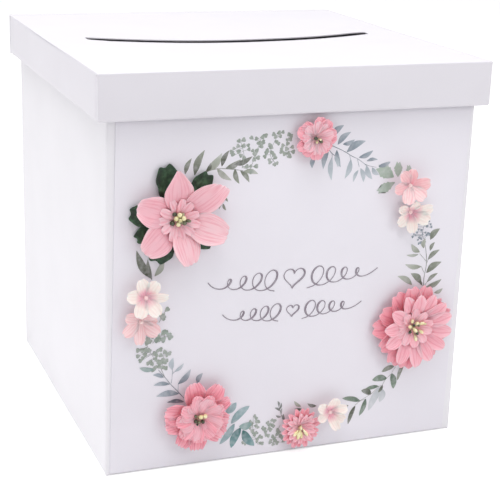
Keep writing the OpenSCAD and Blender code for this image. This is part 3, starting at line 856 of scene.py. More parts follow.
small_blossom("salmon_petals_left", "pink_blossom_left", "salmon_paper", (-100.3, 102.2), 1.6,
    (160, 11, 7, 5, 6, 0.9), (210, 13.6, 8, 5, -5, 0.9), (264, 14.8, 6.4, 4, 5, 0.9),
    (322, 14, 8.6, 5, 6, 0.8), (10, 10, 7, 3, 5, 0.8), (95, 8, 7, 2, 5, 0.7))
small_blossom("cream_petals_base", "cream_blossom_base", "cream_paper", (26.8, 27.4), 4.6,
    (75, 10.8, 8.4, 6, 6, 0), (150, 11.6, 6.6, 9, 10, 0), (10, 12.2, 6.4, 5, -8, 0.1),
    (-28, 12, 7, 5, 8, 0.1), (-64, 13.6, 6, 10, 14, 0), (208, 9.6, 6.2, 3, 5, 0.4))

# %% [markdown]
# ## Stamens
# Bought stamens are waxed thread dipped at both ends in coloured paste, so each ends in a small
# glossy bud. A bundle mixes pale yellow buds with a few dark green ones. One bud is shaped from a
# sphere by drawing in the end at the thread, and a thread is a thin cylinder. Each copy of the bud
# is then stretched to its own width and length and turned the way its thread points.

# %% Stamen paste
def stamen_paste():
    """Glossy dipped paste: pale yellow where tone is 0, dark green where it is 1."""
    made, tree, shader = new_material("dipped_stamen_paste", 0.32, Specular_IOR_Level=0.5,
                                      Coat_Weight=0.25, Coat_Roughness=0.2)
    tone = add_node(tree, "Attribute", attribute_name="tone").outputs["Fac"]
    place = add_node(tree, "TexCoord").outputs["Object"]
    blotch = add_node(tree, "TexNoise", {"Vector": place, "Scale": 1 / (1.5 * MM), "Detail": 2.0})
    pale = add_node(tree, "ValToRGB", {"Fac": blotch.outputs["Fac"]})
    set_stops(pale, [(0.35, "#e6dc9c"), (0.65, "#f9f4cf")])
    dark = add_node(tree, "ValToRGB", {"Fac": blotch.outputs["Fac"]})
    set_stops(dark, [(0.4, "#1c2016"), (0.7, "#4a5432")])
    both = add_node(tree, "Mix", {0: tone, 6: pale.outputs["Color"], 7: dark.outputs["Color"]},
                    data_type="RGBA")
    tree.links.new(both.outputs[2], shader.inputs["Base Color"])
    return made


stamen_material = stamen_paste()

# %% Buds and bundles
def toned(mesh, tone):
    """Fills the tone attribute: 0 is pale yellow paste, 1 dark green."""
    if "tone" not in mesh.attributes:
        mesh.attributes.new("tone", "FLOAT", "POINT")
    mesh.attributes["tone"].data.foreach_set("value", [tone] * len(mesh.vertices))


BUD_W, BUD_L = 2.0, 2.6
THREAD_R, THREAD_IN_BUD, THREAD_TONE = 0.24 * MM, 0.3 * MM, 0.25

bud = start(bpy.ops.mesh.primitive_uv_sphere_add, "stamen_bud", segments=12, ring_count=8,
            radius=0.5, location=(0, 0, 0.5))
edit()
pick(lambda v: v.co.z < 0.45)
bpy.ops.transform.resize(value=(0.72, 0.72, 1), center_override=(0, 0, 0))
bpy.ops.mesh.select_all(action="SELECT")
bpy.ops.transform.resize(value=(BUD_W * MM, BUD_W * MM, BUD_L * MM), center_override=(0, 0, 0))
done()
bpy.ops.object.shade_smooth()
put_away(bud)

thread = start(bpy.ops.mesh.primitive_cylinder_add, "stamen_thread", vertices=6, radius=THREAD_R,
               depth=1, location=(0, 0, 0.5))
put_away(thread)


def pointed_along(place, way, *stretch):
    """The matrix that stretches a thing, turns its +Z along a way and puts its foot at a place."""
    turned = way.to_track_quat("Z", "Y").to_matrix().to_4x4()
    return Matrix.Translation(place) @ turned @ Matrix.Diagonal((*stretch, 1))


def stamen_bundle(name, node_name, centre, foot, *buds):
    """A bud is (x, z, height, heading, rise, width, length, tone): mm and degrees from the centre."""
    base = Vector((centre[0] * MM, FACE - foot * MM, centre[1] * MM))
    parts = []
    for x, z, height, heading, rise, width, length, tone in buds:
        lift, yaw = math.radians(rise), math.radians(heading)
        along = Vector((math.cos(yaw) * math.cos(lift), -math.sin(lift),
                        math.sin(yaw) * math.cos(lift)))
        middle = base + Vector((x * MM, -height * MM, z * MM))
        tail = middle - along * (length * MM / 2)
        part = own_copy(bud, name)
        part.data.transform(pointed_along(tail, along, width / BUD_W, width / BUD_W, length / BUD_L))
        string = own_copy(thread, name)
        reach = tail - base
        string.data.transform(pointed_along(base, reach, 1, 1, reach.length + THREAD_IN_BUD))
        toned(part.data, tone)
        toned(string.data, THREAD_TONE)
        parts += [part, string]
    dress(join_as(name, parts), "box", stamen_material, "stamen_bead", node_name)


# %% [markdown]
# Lily, peony and primrose have round buds that stand up. The gerbera's long buds are splayed,
# and the aster's have been pressed down, so they lie in a fan towards its lower rim.

# %% Five bundles
stamen_bundle("lily_stamen_bundle", "lily_stamens", LILY, 3.0,
    (0.2, 3.2, 3.8, 90, 55, 3.1, 3.6, 0), (-2.0, 1.2, 4.2, 150, 60, 3.0, 3.2, 0.1),
    (2.5, 1.2, 4.4, 20, 60, 3.1, 3.6, 0), (0.2, 0.2, 5.0, 60, 85, 2.5, 3.0, 0.25),
    (-0.6, -2.2, 4.0, 255, 55, 3.0, 3.6, 0.1), (-3.8, -1.7, 2.8, 205, 40, 3.2, 3.8, 1),
    (3.0, -1.6, 3.8, 320, 45, 3.0, 3.6, 0.9), (-2.6, 3.6, 2.8, 125, 40, 2.8, 3.2, 1),
    (5.6, -0.8, 3.2, 350, 20, 2.4, 4.0, 0.9), (1.0, -0.9, 4.4, 300, 75, 2.4, 2.8, 0.8),
    (2.2, 3.2, 3.4, 60, 40, 2.2, 2.8, 0.6))
stamen_bundle("gerbera_stamen_bundle", "gerbera_stamens", GERBERA, 3.0,
    (-1.9, 4.6, 4.0, 105, 30, 2.3, 4.2, 0), (1.2, 3.2, 4.8, 60, 40, 2.3, 3.8, 0),
    (4.6, 2.9, 4.6, 20, 25, 2.1, 4.4, 0), (7.4, 2.2, 4.0, 10, 20, 1.7, 2.8, 0.1),
    (-3.4, 1.4, 4.6, 175, 35, 2.5, 3.8, 0), (-0.2, -0.9, 5.4, 310, 45, 2.3, 4.2, 0),
    (1.4, -7.0, 3.8, 280, 22, 2.5, 5.0, 0), (5.0, -3.0, 4.2, 325, 25, 2.3, 4.0, 0),
    (-0.8, 2.2, 4.8, 120, 50, 1.8, 2.4, 1), (-2.9, -2.5, 4.0, 215, 30, 2.1, 2.8, 1),
    (1.9, -3.4, 4.8, 285, 35, 2.2, 2.8, 1), (2.6, 1.6, 4.8, 40, 40, 1.6, 2.0, 0.8))
stamen_bundle("peony_stamen_bundle", "peony_stamens", PEONY, 3.6,
    (0.5, 0.9, 3.8, 100, 80, 3.0, 3.0, 0), (3.4, 0.9, 3.4, 30, 60, 3.1, 3.1, 0),
    (-2.5, -1.8, 3.0, 210, 45, 2.6, 3.0, 1), (-0.5, -2.6, 3.4, 250, 60, 2.4, 2.8, 0.85),
    (2.1, -2.6, 3.2, 300, 55, 2.6, 2.8, 1), (-1.4, -4.5, 2.2, 250, 25, 2.0, 2.6, 1),
    (-2.6, 1.3, 2.8, 160, 40, 2.0, 2.4, 0.9))
stamen_bundle("primrose_stamen_bundle", "primrose_stamens", PRIMROSE, 2.6,
    (-1.2, 0.2, 2.8, 175, 30, 2.5, 3.6, 1), (2.0, -1.7, 2.6, 315, 30, 2.4, 3.4, 0.95),
    (1.4, -0.6, 3.4, 0, 70, 1.4, 1.8, 0), (-0.5, -2.1, 2.6, 250, 35, 1.5, 2.4, 0.1))
stamen_bundle("aster_stamen_bundle", "aster_stamens", ASTER, 2.8,
    (-3.4, -3.2, 2.8, 222, 12, 2.4, 5.4, 0), (-1.4, -4.2, 3.4, 248, 12, 2.6, 6.6, 0),
    (0.6, -5.0, 2.8, 268, 10, 2.0, 4.8, 0.05), (3.2, -3.4, 3.0, 305, 12, 2.2, 6.2, 0),
    (-0.2, 0.4, 3.4, 240, 40, 2.0, 3.2, 0.1), (0.8, -7.0, 2.4, 262, 15, 1.8, 2.8, 1))

# %% [markdown]
# ## Pearls and pads
# A pearl of paste sits in the middle of each small blossom, and every flower stands on a stub of
# white foam. Both are plain solids in the frame and stay as they are. The foam is closed-cell, so
# it looks matt with a fine pitting, about a third of a millimetre.

# %% Pearl and foam finish
pearl, tree, shader = new_material("cream_pearl_paste", 0.3, Specular_IOR_Level=0.5, Coat_Weight=0.3)
place = add_node(tree, "TexCoord").outputs["Object"]
# The noise mottles the pearl's colour paler and pinker: the paler patches are a painted sheen.
sheen = add_node(tree, "TexNoise", {"Vector": place, "Scale": 1 / (1.2 * MM), "Detail": 1.0})
tone = add_node(tree, "ValToRGB", {"Fac": sheen.outputs["Fac"]})
set_stops(tone, [(0.35, "#efc3c6"), (0.65, "#f8e4df")])
tree.links.new(tone.outputs["Color"], shader.inputs["Base Color"])

foam, tree, shader = new_material("closed_cell_foam", 0.9, Specular_IOR_Level=0.15)
place = add_node(tree, "TexCoord").outputs["Object"]
cells = add_node(tree, "TexVoronoi", {"Vector": place, "Scale": 1 / (0.35 * MM)})
tone = add_node(tree, "ValToRGB", {"Fac": cells.outputs["Distance"]})
set_stops(tone, [(0.1, "#f6f4ee"), (0.8, "#e4e1da")])
tree.links.new(tone.outputs["Color"], shader.inputs["Base Color"])
pits = add_node(tree, "Bump", {"Height": cells.outputs["Distance"], "Distance": 0.1 * MM})
tree.links.new(pits.outputs["Normal"], shader.inputs["Normal"])
finish(pearl, "blossom_pearls")
finish(foam, "foam_pads")

# %% [markdown]
# ## The printed wreath
# The panel carries a watercolour wreath of leaves, offset printed on the matt card. Ink has no
# thickness to speak of, so each leaf is a flat sheet a few hundredths of a millimetre in front of
# the card. A leaf painter has a few brush shapes and repeats them, and so does this: a few leaf
# blanks, each laid down again and again with a new length, width and turn. The colour runs from
# a darker foot to a washed-out tip, as wet paint does.

# %% Watercolour ink
def watercolour_ink():
    """Matt ink that reads its dye from the ink attribute, with pools and pale runs."""
    made, tree, shader = new_material("watercolour_print_ink", 0.62, Specular_IOR_Level=0.3)
    dye = add_node(tree, "Attribute", attribute_name="ink").outputs["Color"]
    place = add_node(tree, "TexCoord").outputs["Object"]
    pool = add_node(tree, "TexNoise", {"Vector": place, "Scale": 1 / (3.5 * MM), "Detail": 4.0})
    wash = add_node(tree, "MapRange", {0: pool.outputs["Fac"], 1: 0.34, 2: 0.78, 3: -0.1, 4: 0.36})
    card = add_node(tree, "Mix", {0: wash.outputs[0], 6: dye, 7: linear("#e6e3ea")}, data_type="RGBA")
    tree.links.new(card.outputs[2], shader.inputs["Base Color"])
    return made


ink = watercolour_ink()


def inked(mesh, foot, tip, shares):
    """Fills the ink attribute from a foot colour to a tip colour."""
    mesh.attributes.new("ink", "FLOAT_COLOR", "POINT")
    low, high = linear(foot), linear(tip)
    values = []
    for share in shares:
        values += [a + (b - a) * share for a, b in zip(low, high)]
    mesh.attributes["ink"].data.foreach_set("color", values)


# %% [markdown]
# The leaf blanks are grids of a few faces, drawn in row by row to their outline: a slim willow
# leaf, an oval one, the wedge of a maidenhair leaflet and a toothed lobe.

# %% Leaf blanks
LEAF_COLUMNS, LEAF_ROWS = 4, 8


def leaf_blank(name, outline, tip=(0,) * (LEAF_COLUMNS + 1), bow=0.0):
    """A flat leaf along +Y, one long and one wide, drawn in to its outline and bowed."""
    made, column, row = grid_blank(name, LEAF_COLUMNS, LEAF_ROWS)
    edit()
    for i, push in enumerate(tip):
        pick(lambda v: column[v.index] == i)
        bpy.ops.transform.translate(value=(0, push, 0))
    for j, half in enumerate(outline):
        share = j / LEAF_ROWS
        pick(lambda v: row[v.index] == j)
        bpy.ops.transform.resize(value=(half, share ** 2, 1), center_override=(0, share, 0))
        bpy.ops.transform.translate(value=(bow * math.sin(math.pi * share), 0, 0))
    done()
    put_away(made)
    return made, [r / LEAF_ROWS for r in row]


WILLOW = (0.1, 0.5, 0.82, 0.98, 1.0, 0.88, 0.66, 0.38, 0.04)
OVAL = (0.14, 0.6, 0.88, 1.0, 1.0, 0.94, 0.8, 0.54, 0.08)
BLANKS = {
    "willow": leaf_blank("willow_leaf", WILLOW, bow=0.28),
    "willow_back": leaf_blank("willow_leaf_back", WILLOW, bow=-0.28),
    "oval": leaf_blank("oval_leaf", OVAL, bow=0.18),
    "oval_back": leaf_blank("oval_leaf_back", OVAL, bow=-0.18),
    "wedge": leaf_blank("maidenhair_leaflet", (0.14, 0.32, 0.52, 0.7, 0.86, 0.96, 1.0, 1.0, 0.92),
                        (-0.14, 0.02, -0.1, 0.0, -0.16)),
    "lobe": leaf_blank("toothed_lobe", (0.08, 0.3, 0.46, 0.82, 0.72, 1.0, 0.86, 0.98, 0.66),
                       (-0.3, 0.02, -0.06, 0.06, -0.26)),
    "lobe_back": leaf_blank("toothed_lobe_back", (0.08, 0.34, 0.6, 0.7, 0.94, 0.8, 1.0, 0.84, 0.7),
                            (-0.24, 0.06, -0.08, 0.03, -0.32)),
}

# %% Laying ink on the card
INK_LIFT, WASH_STEP = 0.03, 0.0004
PRESSED_FLAT = 0.01
washes = []


def next_wash():
    """Where the next print lies in Y: a hair before the last, as one wash dries over another."""
    washes.append(FACE - (INK_LIFT + WASH_STEP * (len(washes) + 1)) * MM)
    return washes[-1]


def lay_leaf(kind, at, angle, length, width, foot, tip):
    """One printed leaf from its foot, with a colour for its foot and one for its tip."""
    blank, shares = BLANKS[kind]
    part = own_copy(blank, "print_leaf")
    place = face_frame(angle)
    place.translation = Vector((at[0] * MM, next_wash(), at[1] * MM))
    part.data.transform(place @ Matrix.Diagonal((width * MM, length * MM, 1, 1)))
    inked(part.data, foot, tip, shares)
    return part


def lay_line(points, thickness, colour, slant=0.0):
    """A pen line: a bevelled curve through points of (x, z, weight), pressed flat on the card."""
    curve = start(bpy.ops.curve.primitive_bezier_curve_add, "print_stem")
    spline = curve.data.splines[0]
    spline.bezier_points.add(len(points) - 2)
    middle = sum(p[1] for p in points) / len(points)
    for knot, (x, z, weight) in zip(spline.bezier_points, points):
        knot.co = ((x + slant * (z - middle)) * MM, 0, z * MM)
        knot.handle_left_type = knot.handle_right_type = "AUTO"
        knot.radius = weight
    curve.data.resolution_u = 5
    curve.data.bevel_depth = thickness * MM / 2
    curve.data.bevel_resolution = 0
    bpy.ops.object.convert(target="MESH")
    line = bpy.context.object
    line.data.transform(Matrix.Diagonal((1, PRESSED_FLAT, 1, 1)))
    line.data.transform(Matrix.Translation((0, next_wash(), 0)))
    inked(line.data, colour, colour, [0.0] * len(line.data.vertices))
    return line


# %% [markdown]
# Leaves are given by foot, tip and width, and each takes one of its kind's two blanks at random,
# because no painted leaf is like the next. A maidenhair twig has a thin stem and small wedges at a
# list of spots, each turned away from the nearest point of the stem and, where it lies further
# off, joined to it by a hair line. Each of these functions adds its pieces to the wreath.

# %% Leaves and twigs
STEM_TAPER = 0.1
TWIG_W, HAIR_W = 0.3, 0.22
wreath = []


def angle_of(run):
    return math.degrees(math.atan2(run.y, run.x))


def leaves(kind, palette, seed, *places):
    """Adds leaves. A place is (foot x, foot z, tip x, tip z, width) in millimetres."""
    chance = random.Random(seed)
    for x0, z0, x1, z1, width in places:
        run = Vector((x1 - x0, z1 - z0))
        wreath.append(lay_leaf(kind + chance.choice(("", "_back")), (x0, z0), angle_of(run),
                               run.length, width, *palette))


def stems(palette, thickness, *lines):
    """Adds stems that taper from point to point."""
    for line in lines:
        points = [(x, z, 1.0 - STEM_TAPER * i) for i, (x, z) in enumerate(line)]
        wreath.append(lay_line(points, thickness, palette[0]))


def maidenhair(palette, seed, size, twig, *spots):
    """Adds small wedges at spots, joined to a twig given by its points."""
    chance = random.Random(seed)
    along = [Vector(a).lerp(Vector(b), k / 8) for a, b in zip(twig, twig[1:]) for k in range(9)]
    stems(palette, TWIG_W, twig)
    for x, z in spots:
        spot = Vector((x, z))
        root = min(along, key=lambda p: (p - spot).length)
        away = spot - root if (spot - root).length > 0.5 else Vector((1, 1))
        angle = angle_of(away) + chance.uniform(-35, 35)
        long = size * chance.uniform(0.82, 1.1)
        heading = math.radians(angle)
        foot = spot - Vector((math.cos(heading), math.sin(heading))) * long * 0.55
        if (foot - root).length > 1.2:
            hair = [(root.x, root.y, 1), (foot.x, foot.y, 0.7)]
            wreath.append(lay_line(hair, HAIR_W, palette[0]))
        wreath.append(lay_leaf("wedge", foot, angle, long, long * chance.uniform(0.85, 1.1),
                               *(palette if chance.random() < 0.5 else palette[::-1])))


# %% [markdown]
# Ten flowers leave gaps, and the wreath fills them clockwise from the lily: an olive sprig and
# maidenhair along the top, a blue-grey willow sprig and toothed lobes at the upper right, a tuft
# of tiny blue leaves and an olive sprig down to the gerbera, green ovals at the lower right, more
# maidenhair and teal leaves along the bottom, and willow and maidenhair back up on the left.

# %% Top of the wreath
OLIVE, PALE_OLIVE, DARK = ("#6c7165", "#989d91"), ("#92978b", "#b9bdb3"), ("#4a4e42", "#7b7f74")
BLUE, PALE_BLUE = ("#74808a", "#a9b2bb"), ("#a0aab2", "#c2c9cf")
GREEN, SAGE, TEAL = ("#58695b", "#879688"), ("#8d978d", "#a0a89f"), ("#41696a", "#7c9ea0")
LOBE, ASH = ("#99ab9d", "#aebcb0"), ("#b6babf", "#ced1d5")
TUFT, SLATE, FERN = ("#6d7270", "#8d918f"), ("#575c68", "#7d838d"), ("#7f8c82", "#9aa69c")
MIST, SEA, MOSS = ("#7f999c", "#9ab0b5"), ("#789592", "#98adab"), ("#7d938f", "#a6b4b2")
stems(OLIVE, 0.4, [(-64, 190), (-54, 193), (-45, 192.5), (-36, 191)])
leaves("willow", OLIVE, 41,
    (-73, 191, -69, 200.5, 3), (-67, 190, -61, 205, 4.4), (-47.5, 193, -38, 198, 3.8),
    (-41.5, 192.5, -38.5, 183, 3.2), (-38, 191, -32, 183.5, 3))
leaves("willow", PALE_OLIVE, 42,
    (-60, 192, -50, 202.5, 4.8), (-53, 193.5, -43.5, 185.5, 3.6), (-36, 190.5, -26.5, 188.5, 3.2))
leaves("willow", DARK, 43,
    (-59.5, 192, -57, 197, 2.6), (-50, 194.5, -45.5, 204, 3.3), (-42, 195, -30.5, 199.5, 3.4))
maidenhair(SAGE, 44, 2.9, [(-37, 193), (-36, 200), (-38, 208)],
    (-44, 203), (-42.5, 205), (-43, 201.5), (-39.5, 209.5), (-36.5, 210), (-40, 206.5),
    (-39.5, 203), (-36.5, 206.3), (-33.5, 206.5), (-33, 204), (-38, 200.5), (-36, 199),
    (-34, 193.5), (-31.5, 193.5), (-31, 190))
maidenhair(SAGE, 45, 3.0, [(-32, 191), (-29, 199), (-26, 208), (-24, 213)],
    (-31.5, 211), (-30.5, 203), (-27.8, 203), (-29, 200.8), (-29.5, 197.5), (-27, 198.5),
    (-28, 193.3), (-28.2, 210.3), (-26.5, 207.5), (-25, 205.5), (-24, 208), (-24.5, 211),
    (-22.5, 212))
maidenhair(SAGE, 46, 2.9, [(-16, 195), (-19, 200), (-17, 207), (-13, 214)],
    (-19.5, 206), (-18.5, 204.5), (-21, 203), (-22.5, 199), (-21.5, 201.3), (-18, 201.3),
    (-16.8, 199.8), (-15.8, 198), (-19.5, 196.8), (-19, 195.3), (-16, 193.8), (-14.5, 194.5),
    (-17.2, 212.5), (-16, 210.8), (-13.8, 213.2), (-13, 211), (-11.3, 213.5), (-15.3, 207.8),
    (-14, 206.6))
maidenhair(SAGE, 47, 2.9, [(-8, 198), (-9, 205), (-6, 213)],
    (-7.3, 212), (-5.8, 211), (-8.2, 208.5), (-6.3, 209), (-11, 205.3), (-11.6, 203.3), (-8.4, 203),
    (-9.6, 200), (-7.2, 200.3), (-6.4, 198.4), (-11.8, 201.6), (-7.9, 206.3), (-4.8, 204),
    (-4.2, 201))
stems(BLUE, 0.45,
    [(20.5, 204), (25, 202), (31, 199), (35, 196.5), (40, 194), (46, 190), (53, 188)],
    [(19, 202.5), (21.5, 199), (25, 196.3)])
stems(PALE_BLUE, 0.3,
    [(34, 197), (35, 193)], [(39.5, 194), (41, 189)], [(43, 192), (46.5, 189)],
    [(22, 198.5), (22.3, 194)])
leaves("willow", BLUE, 48,
    (25.5, 204, 34, 211.5, 3.8), (29, 204, 37, 206.5, 2.8), (32, 199, 44.5, 205.3, 4.6),
    (40.5, 195, 50, 199, 3.2), (46, 192.5, 53.5, 193, 2.2), (19.5, 202, 16.5, 189, 3.8),
    (25, 200.5, 28.2, 189.5, 3.4), (10.5, 197, 9, 190, 3.2), (21.5, 209, 29, 216, 4))
leaves("willow", PALE_BLUE, 49,
    (22, 196, 22.5, 181.5, 3.4), (24, 197, 26.5, 189.5, 2.6), (35, 194, 31.5, 182, 3.6),
    (40.5, 187, 37.5, 179.5, 2.3), (42, 188, 44.5, 179, 3.2), (46, 189.5, 50.5, 180.5, 3.6),
    (50, 188, 55, 183, 3))

# %% Right side
leaves("lobe", LOBE, 50,
    (65.5, 181, 54, 188, 9), (68.5, 181, 68.2, 190.5, 6.2), (77, 180, 75.5, 188, 4.5),
    (66.5, 177.5, 55, 172, 7))
leaves("oval", BLUE, 51, (54.5, 188.5, 62.5, 191, 2.8))
maidenhair(BLUE, 52, 1.9, [(92, 136), (89, 141), (90, 148)],
    (86, 145), (88, 144.3), (85, 143), (82.8, 142), (84, 141.2), (82, 140.4), (87, 139.6),
    (88.5, 138.6), (86, 138), (88, 136), (86.8, 135.4), (91, 142.5), (93, 142), (92, 140.8),
    (94, 141), (90, 148), (91.5, 149), (93, 150), (92, 146.8), (94.5, 147.8), (95, 146),
    (82.6, 149), (82, 147), (89, 141.5))
stems(OLIVE, 0.4, [(92.5, 105), (92.5, 112), (93.5, 121), (92.5, 130), (90.5, 138)])
stems(PALE_OLIVE, 0.3,
    [(92.3, 115), (90, 119.5)], [(93.2, 123), (88, 128.5)], [(92, 106), (90, 108.5)],
    [(93, 106), (95, 108.5)], [(93.5, 121), (94.5, 124)])
leaves("willow", PALE_OLIVE, 53,
    (84, 107.5, 73, 114.5, 3.8), (90, 119.5, 78, 122, 3.4), (87, 128, 78.5, 128.3, 2),
    (88, 129.5, 81.5, 135.5, 3.6), (90.5, 132, 91.5, 138.5, 3.2), (101, 100.5, 107, 103, 2.8))
leaves("willow", OLIVE, 54,
    (90.5, 108, 82.5, 115.5, 4.4), (94, 115, 104.5, 121.5, 4.8), (94.5, 124, 102.5, 130, 3.4),
    (95.5, 130, 98.5, 135.5, 2.6), (95, 137.5, 101.5, 144.5, 4.4), (95, 108.5, 102.5, 114, 2.8),
    (94.5, 105, 105.5, 109.5, 3.6))
leaves("willow", DARK, 55, (91.5, 106.5, 87.5, 111, 1.8))
stems(PALE_OLIVE, 0.3,
    [(76, 51), (73.5, 47)], [(73, 46), (70, 43.5)], [(67, 39), (70, 44)], [(59, 33.5), (66, 39)],
    [(51, 29.5), (59, 33.5)], [(48, 27), (51.5, 29.5), (55.5, 30.5)])
leaves("oval", ASH, 56, (67, 38, 58, 22, 5.2), (67.5, 36, 66, 27, 4.6))
leaves("oval", GREEN, 57,
    (70, 43.5, 59.5, 43.5, 4.6), (73.5, 46.5, 75.5, 35.5, 4.4), (64.5, 38.5, 54, 37, 2.8),
    (51.5, 29.5, 38.5, 33, 3.5), (55.5, 30.5, 51.5, 19, 3.4))
leaves("oval", OLIVE, 58,
    (75, 51.5, 66, 48.5, 3.4), (82, 53, 78, 41, 2.8), (40, 25.5, 39.5, 19.5, 2),
    (43, 27.5, 40.3, 26, 1.8))
leaves("oval", DARK, 59, (59.3, 33.5, 52, 37, 4), (48, 26.5, 43.5, 14, 3), (67.3, 39, 64.5, 34, 2.2))

# %% Bottom of the wreath
leaves("willow", DARK, 60,
    (20, 30, 13.5, 32.5, 2.4), (9.5, 29.3, 4.5, 30, 2.2), (31, 30.3, 34.5, 31.5, 1.2))
leaves("willow", PALE_OLIVE, 61, (9, 31, 4, 35.5, 2.2))
stems(DARK, 0.35, [(-6.5, 33), (-5, 28), (-2.5, 22)])
leaves("willow", TUFT, 62,
    (-6.5, 33, -7.5, 37, 1.5), (-5.8, 31, -5, 35.5, 1.4), (-6, 30, -9.5, 32.5, 1.5),
    (-4.6, 27.5, -4.3, 31.5, 1.4), (-4.6, 25.5, -8.5, 27, 1.5), (-2.2, 22.5, -3.2, 27.5, 1.9))
maidenhair(SAGE, 63, 2.6, [(-24, 28), (-24, 20), (-22.5, 14), (-20, 8)],
    (-23, 28.5), (-22, 26.8), (-26, 24.8), (-25, 23.5), (-21.5, 24.5), (-20.3, 24), (-22, 21.5),
    (-20.5, 20.3), (-26, 20.5), (-24.5, 18.3), (-23.5, 16.8), (-21.5, 16.5), (-22.8, 15.2),
    (-19, 13.6), (-17.8, 12.8), (-20.6, 12), (-21, 10.3), (-18.7, 9), (-17.3, 8.5), (-30.5, 11),
    (-29, 9.8), (-30.5, 22.8), (-28, 22))
maidenhair(SAGE, 64, 2.7, [(-11, 24), (-14, 17), (-14.5, 13)],
    (-17, 19.5), (-16, 18.2), (-15.3, 16.5), (-13.8, 22.5), (-13, 21), (-11, 24), (-9.3, 23.3),
    (-10.8, 20.6), (-9.8, 19.6), (-12.6, 18.4), (-11.8, 17.3), (-14.6, 14), (-13.2, 13.4))
maidenhair(SAGE, 65, 2.7, [(-5, 20), (-8, 13), (-9, 6)],
    (-10, 12.5), (-9, 11), (-11.2, 9.7), (-11.6, 8.4), (-8.4, 9.4), (-9.4, 6.8), (-6.8, 7.4),
    (-6.8, 16.5), (-6, 14.8), (-7.2, 13.4), (-4.8, 12.3), (-3.6, 10.5), (-2.5, 8))
leaves("oval", MIST, 66,
    (-43, 33, -36, 39.5, 4.6), (-39, 25.5, -27, 36, 5.2), (-36.8, 25, -46.5, 12, 4.4))
leaves("oval", TEAL, 67, (-32.5, 21.5, -38.7, 8.5, 5.4), (-31, 19.5, -22.8, 7.8, 5.6))
leaves("oval", SEA, 68, (-25, 23.5, -33.5, 22.5, 5))

# %% Left side
stems(BLUE, 0.45, [(-71, 47), (-76, 53), (-80, 57.5), (-84, 63), (-88, 68)])
stems(PALE_BLUE, 0.3,
    [(-79.5, 58), (-79, 63), (-78.8, 68)], [(-75, 52), (-75, 57)], [(-79, 64), (-77, 66)])
leaves("willow", BLUE, 69,
    (-80.5, 57.5, -91, 58, 2.8), (-84.5, 62.5, -91.5, 65, 2.5), (-74.5, 50.5, -89, 50.3, 4.2),
    (-75, 57, -67, 66, 3.8), (-62.5, 56, -59, 62.5, 3.4))
leaves("willow", SLATE, 70, (-71, 44.5, -82, 45.5, 2.8))
leaves("willow", PALE_BLUE, 71, (-79, 67, -78.5, 75, 3.4), (-77.5, 65.5, -71.5, 70.5, 2.2))
maidenhair(SAGE, 72, 3.1, [(-84, 63), (-87, 70), (-92, 78), (-95, 84), (-96, 94)],
    (-96, 82), (-94, 81.5), (-98.5, 82), (-101, 82.3), (-96.5, 79), (-98, 77), (-99.5, 75.3),
    (-101, 78.5), (-90.5, 79.2), (-89.3, 77.8), (-88.5, 80.5), (-86.8, 81.3), (-93, 74),
    (-92, 72.3), (-94.5, 73), (-90, 75.5), (-90, 70), (-91.3, 68.3), (-95, 88.8), (-93.6, 87.4),
    (-95.5, 86.4), (-92, 90.5), (-90.8, 92))
maidenhair(SAGE, 73, 3.1, [(-86, 68), (-85, 74), (-84, 80)],
    (-86.5, 77.5), (-84, 79.4), (-82.5, 77.3), (-81, 78.2), (-88, 73.5), (-86.8, 72.3), (-85, 74),
    (-83.8, 72.3), (-82.8, 73.6), (-87.5, 70), (-85, 69.4), (-83.3, 68.6))
maidenhair(FERN, 74, 3.4, [(-92, 86), (-87, 90), (-82, 89)],
    (-89.3, 93), (-88.5, 89.3), (-87.4, 87.8), (-89.6, 87.3), (-85, 92), (-83.7, 92.6),
    (-85.2, 87.6), (-81.6, 90.4), (-80.6, 88.6))
maidenhair(SAGE, 75, 3.8, [(-88, 99), (-84, 106)], (-82.8, 107), (-86, 103.2), (-85.3, 101.8))
leaves("oval", MOSS, 76, (-91, 68.5, -100, 70.5, 3))
leaves("willow", DARK, 77, (-93.5, 128, -102.5, 146, 4.8), (-92.8, 127, -95.5, 140, 3))
leaves("willow", PALE_OLIVE, 78, (-91, 129, -85.5, 139, 3.8))
leaves("willow", OLIVE, 79,
    (-49.3, 180.5, -48.6, 177, 1.7), (-48.9, 176, -50.6, 173, 1.7), (-48.5, 175, -45.5, 172.4, 1.5),
    (-49.4, 172, -51, 168, 1.7), (-48.5, 171.3, -46.5, 167, 1.7))
dress(join_as("printed_wreath", wreath, lead=0), "box", ink, "panel_card")
print("washes", len(washes))

# %% [markdown]
# ## The printed flourish
# In the middle of the wreath stands a penman's flourish in grey-mauve ink: two lines of loops,
# each with a heart in its middle, which shrink outwards and are mirrored. A pen presses on the way
# down and lifts on the way up, so the weight of the line follows its direction.

# %% Loops and heart
INK_GREY = "#928893"
TURNS, STEPS_PER_TURN, HEART_STEPS = 4, 10, 24


def pen_line(points):
    """Adds the pen's weight to (x, z) points: heavy on the way down, light on the way up."""
    weighed = []
    for i, (x, z) in enumerate(points):
        ahead_x, ahead_z = points[min(i + 1, len(points) - 1)]
        back_x, back_z = points[max(i - 1, 0)]
        run = math.hypot(ahead_x - back_x, ahead_z - back_z) or 1.0
        weighed.append((x, z, 0.55 + 0.75 * max(0.0, (back_z - ahead_z) / run)))
    return weighed


def loops(side, start_x, end_x, level_z, first_r, last_r):
    """A run of loops from the middle outwards that ends in a rising swash."""
    points = []
    steps = TURNS * STEPS_PER_TURN
    for k in range(steps + 1):
        share = k / steps
        radius = first_r + (last_r - first_r) * share
        swing = 2 * math.pi * TURNS * share
        x = start_x + (end_x - start_x) * share + radius * 0.85 * math.sin(swing)
        points.append((side * x, level_z - radius * math.cos(swing) * 0.95))
    last_x, last_z = points[-1]
    for k in range(1, 5):
        points.append((last_x + side * 2.4 * k, last_z + 0.32 * k * k * last_r / 3))
    return points


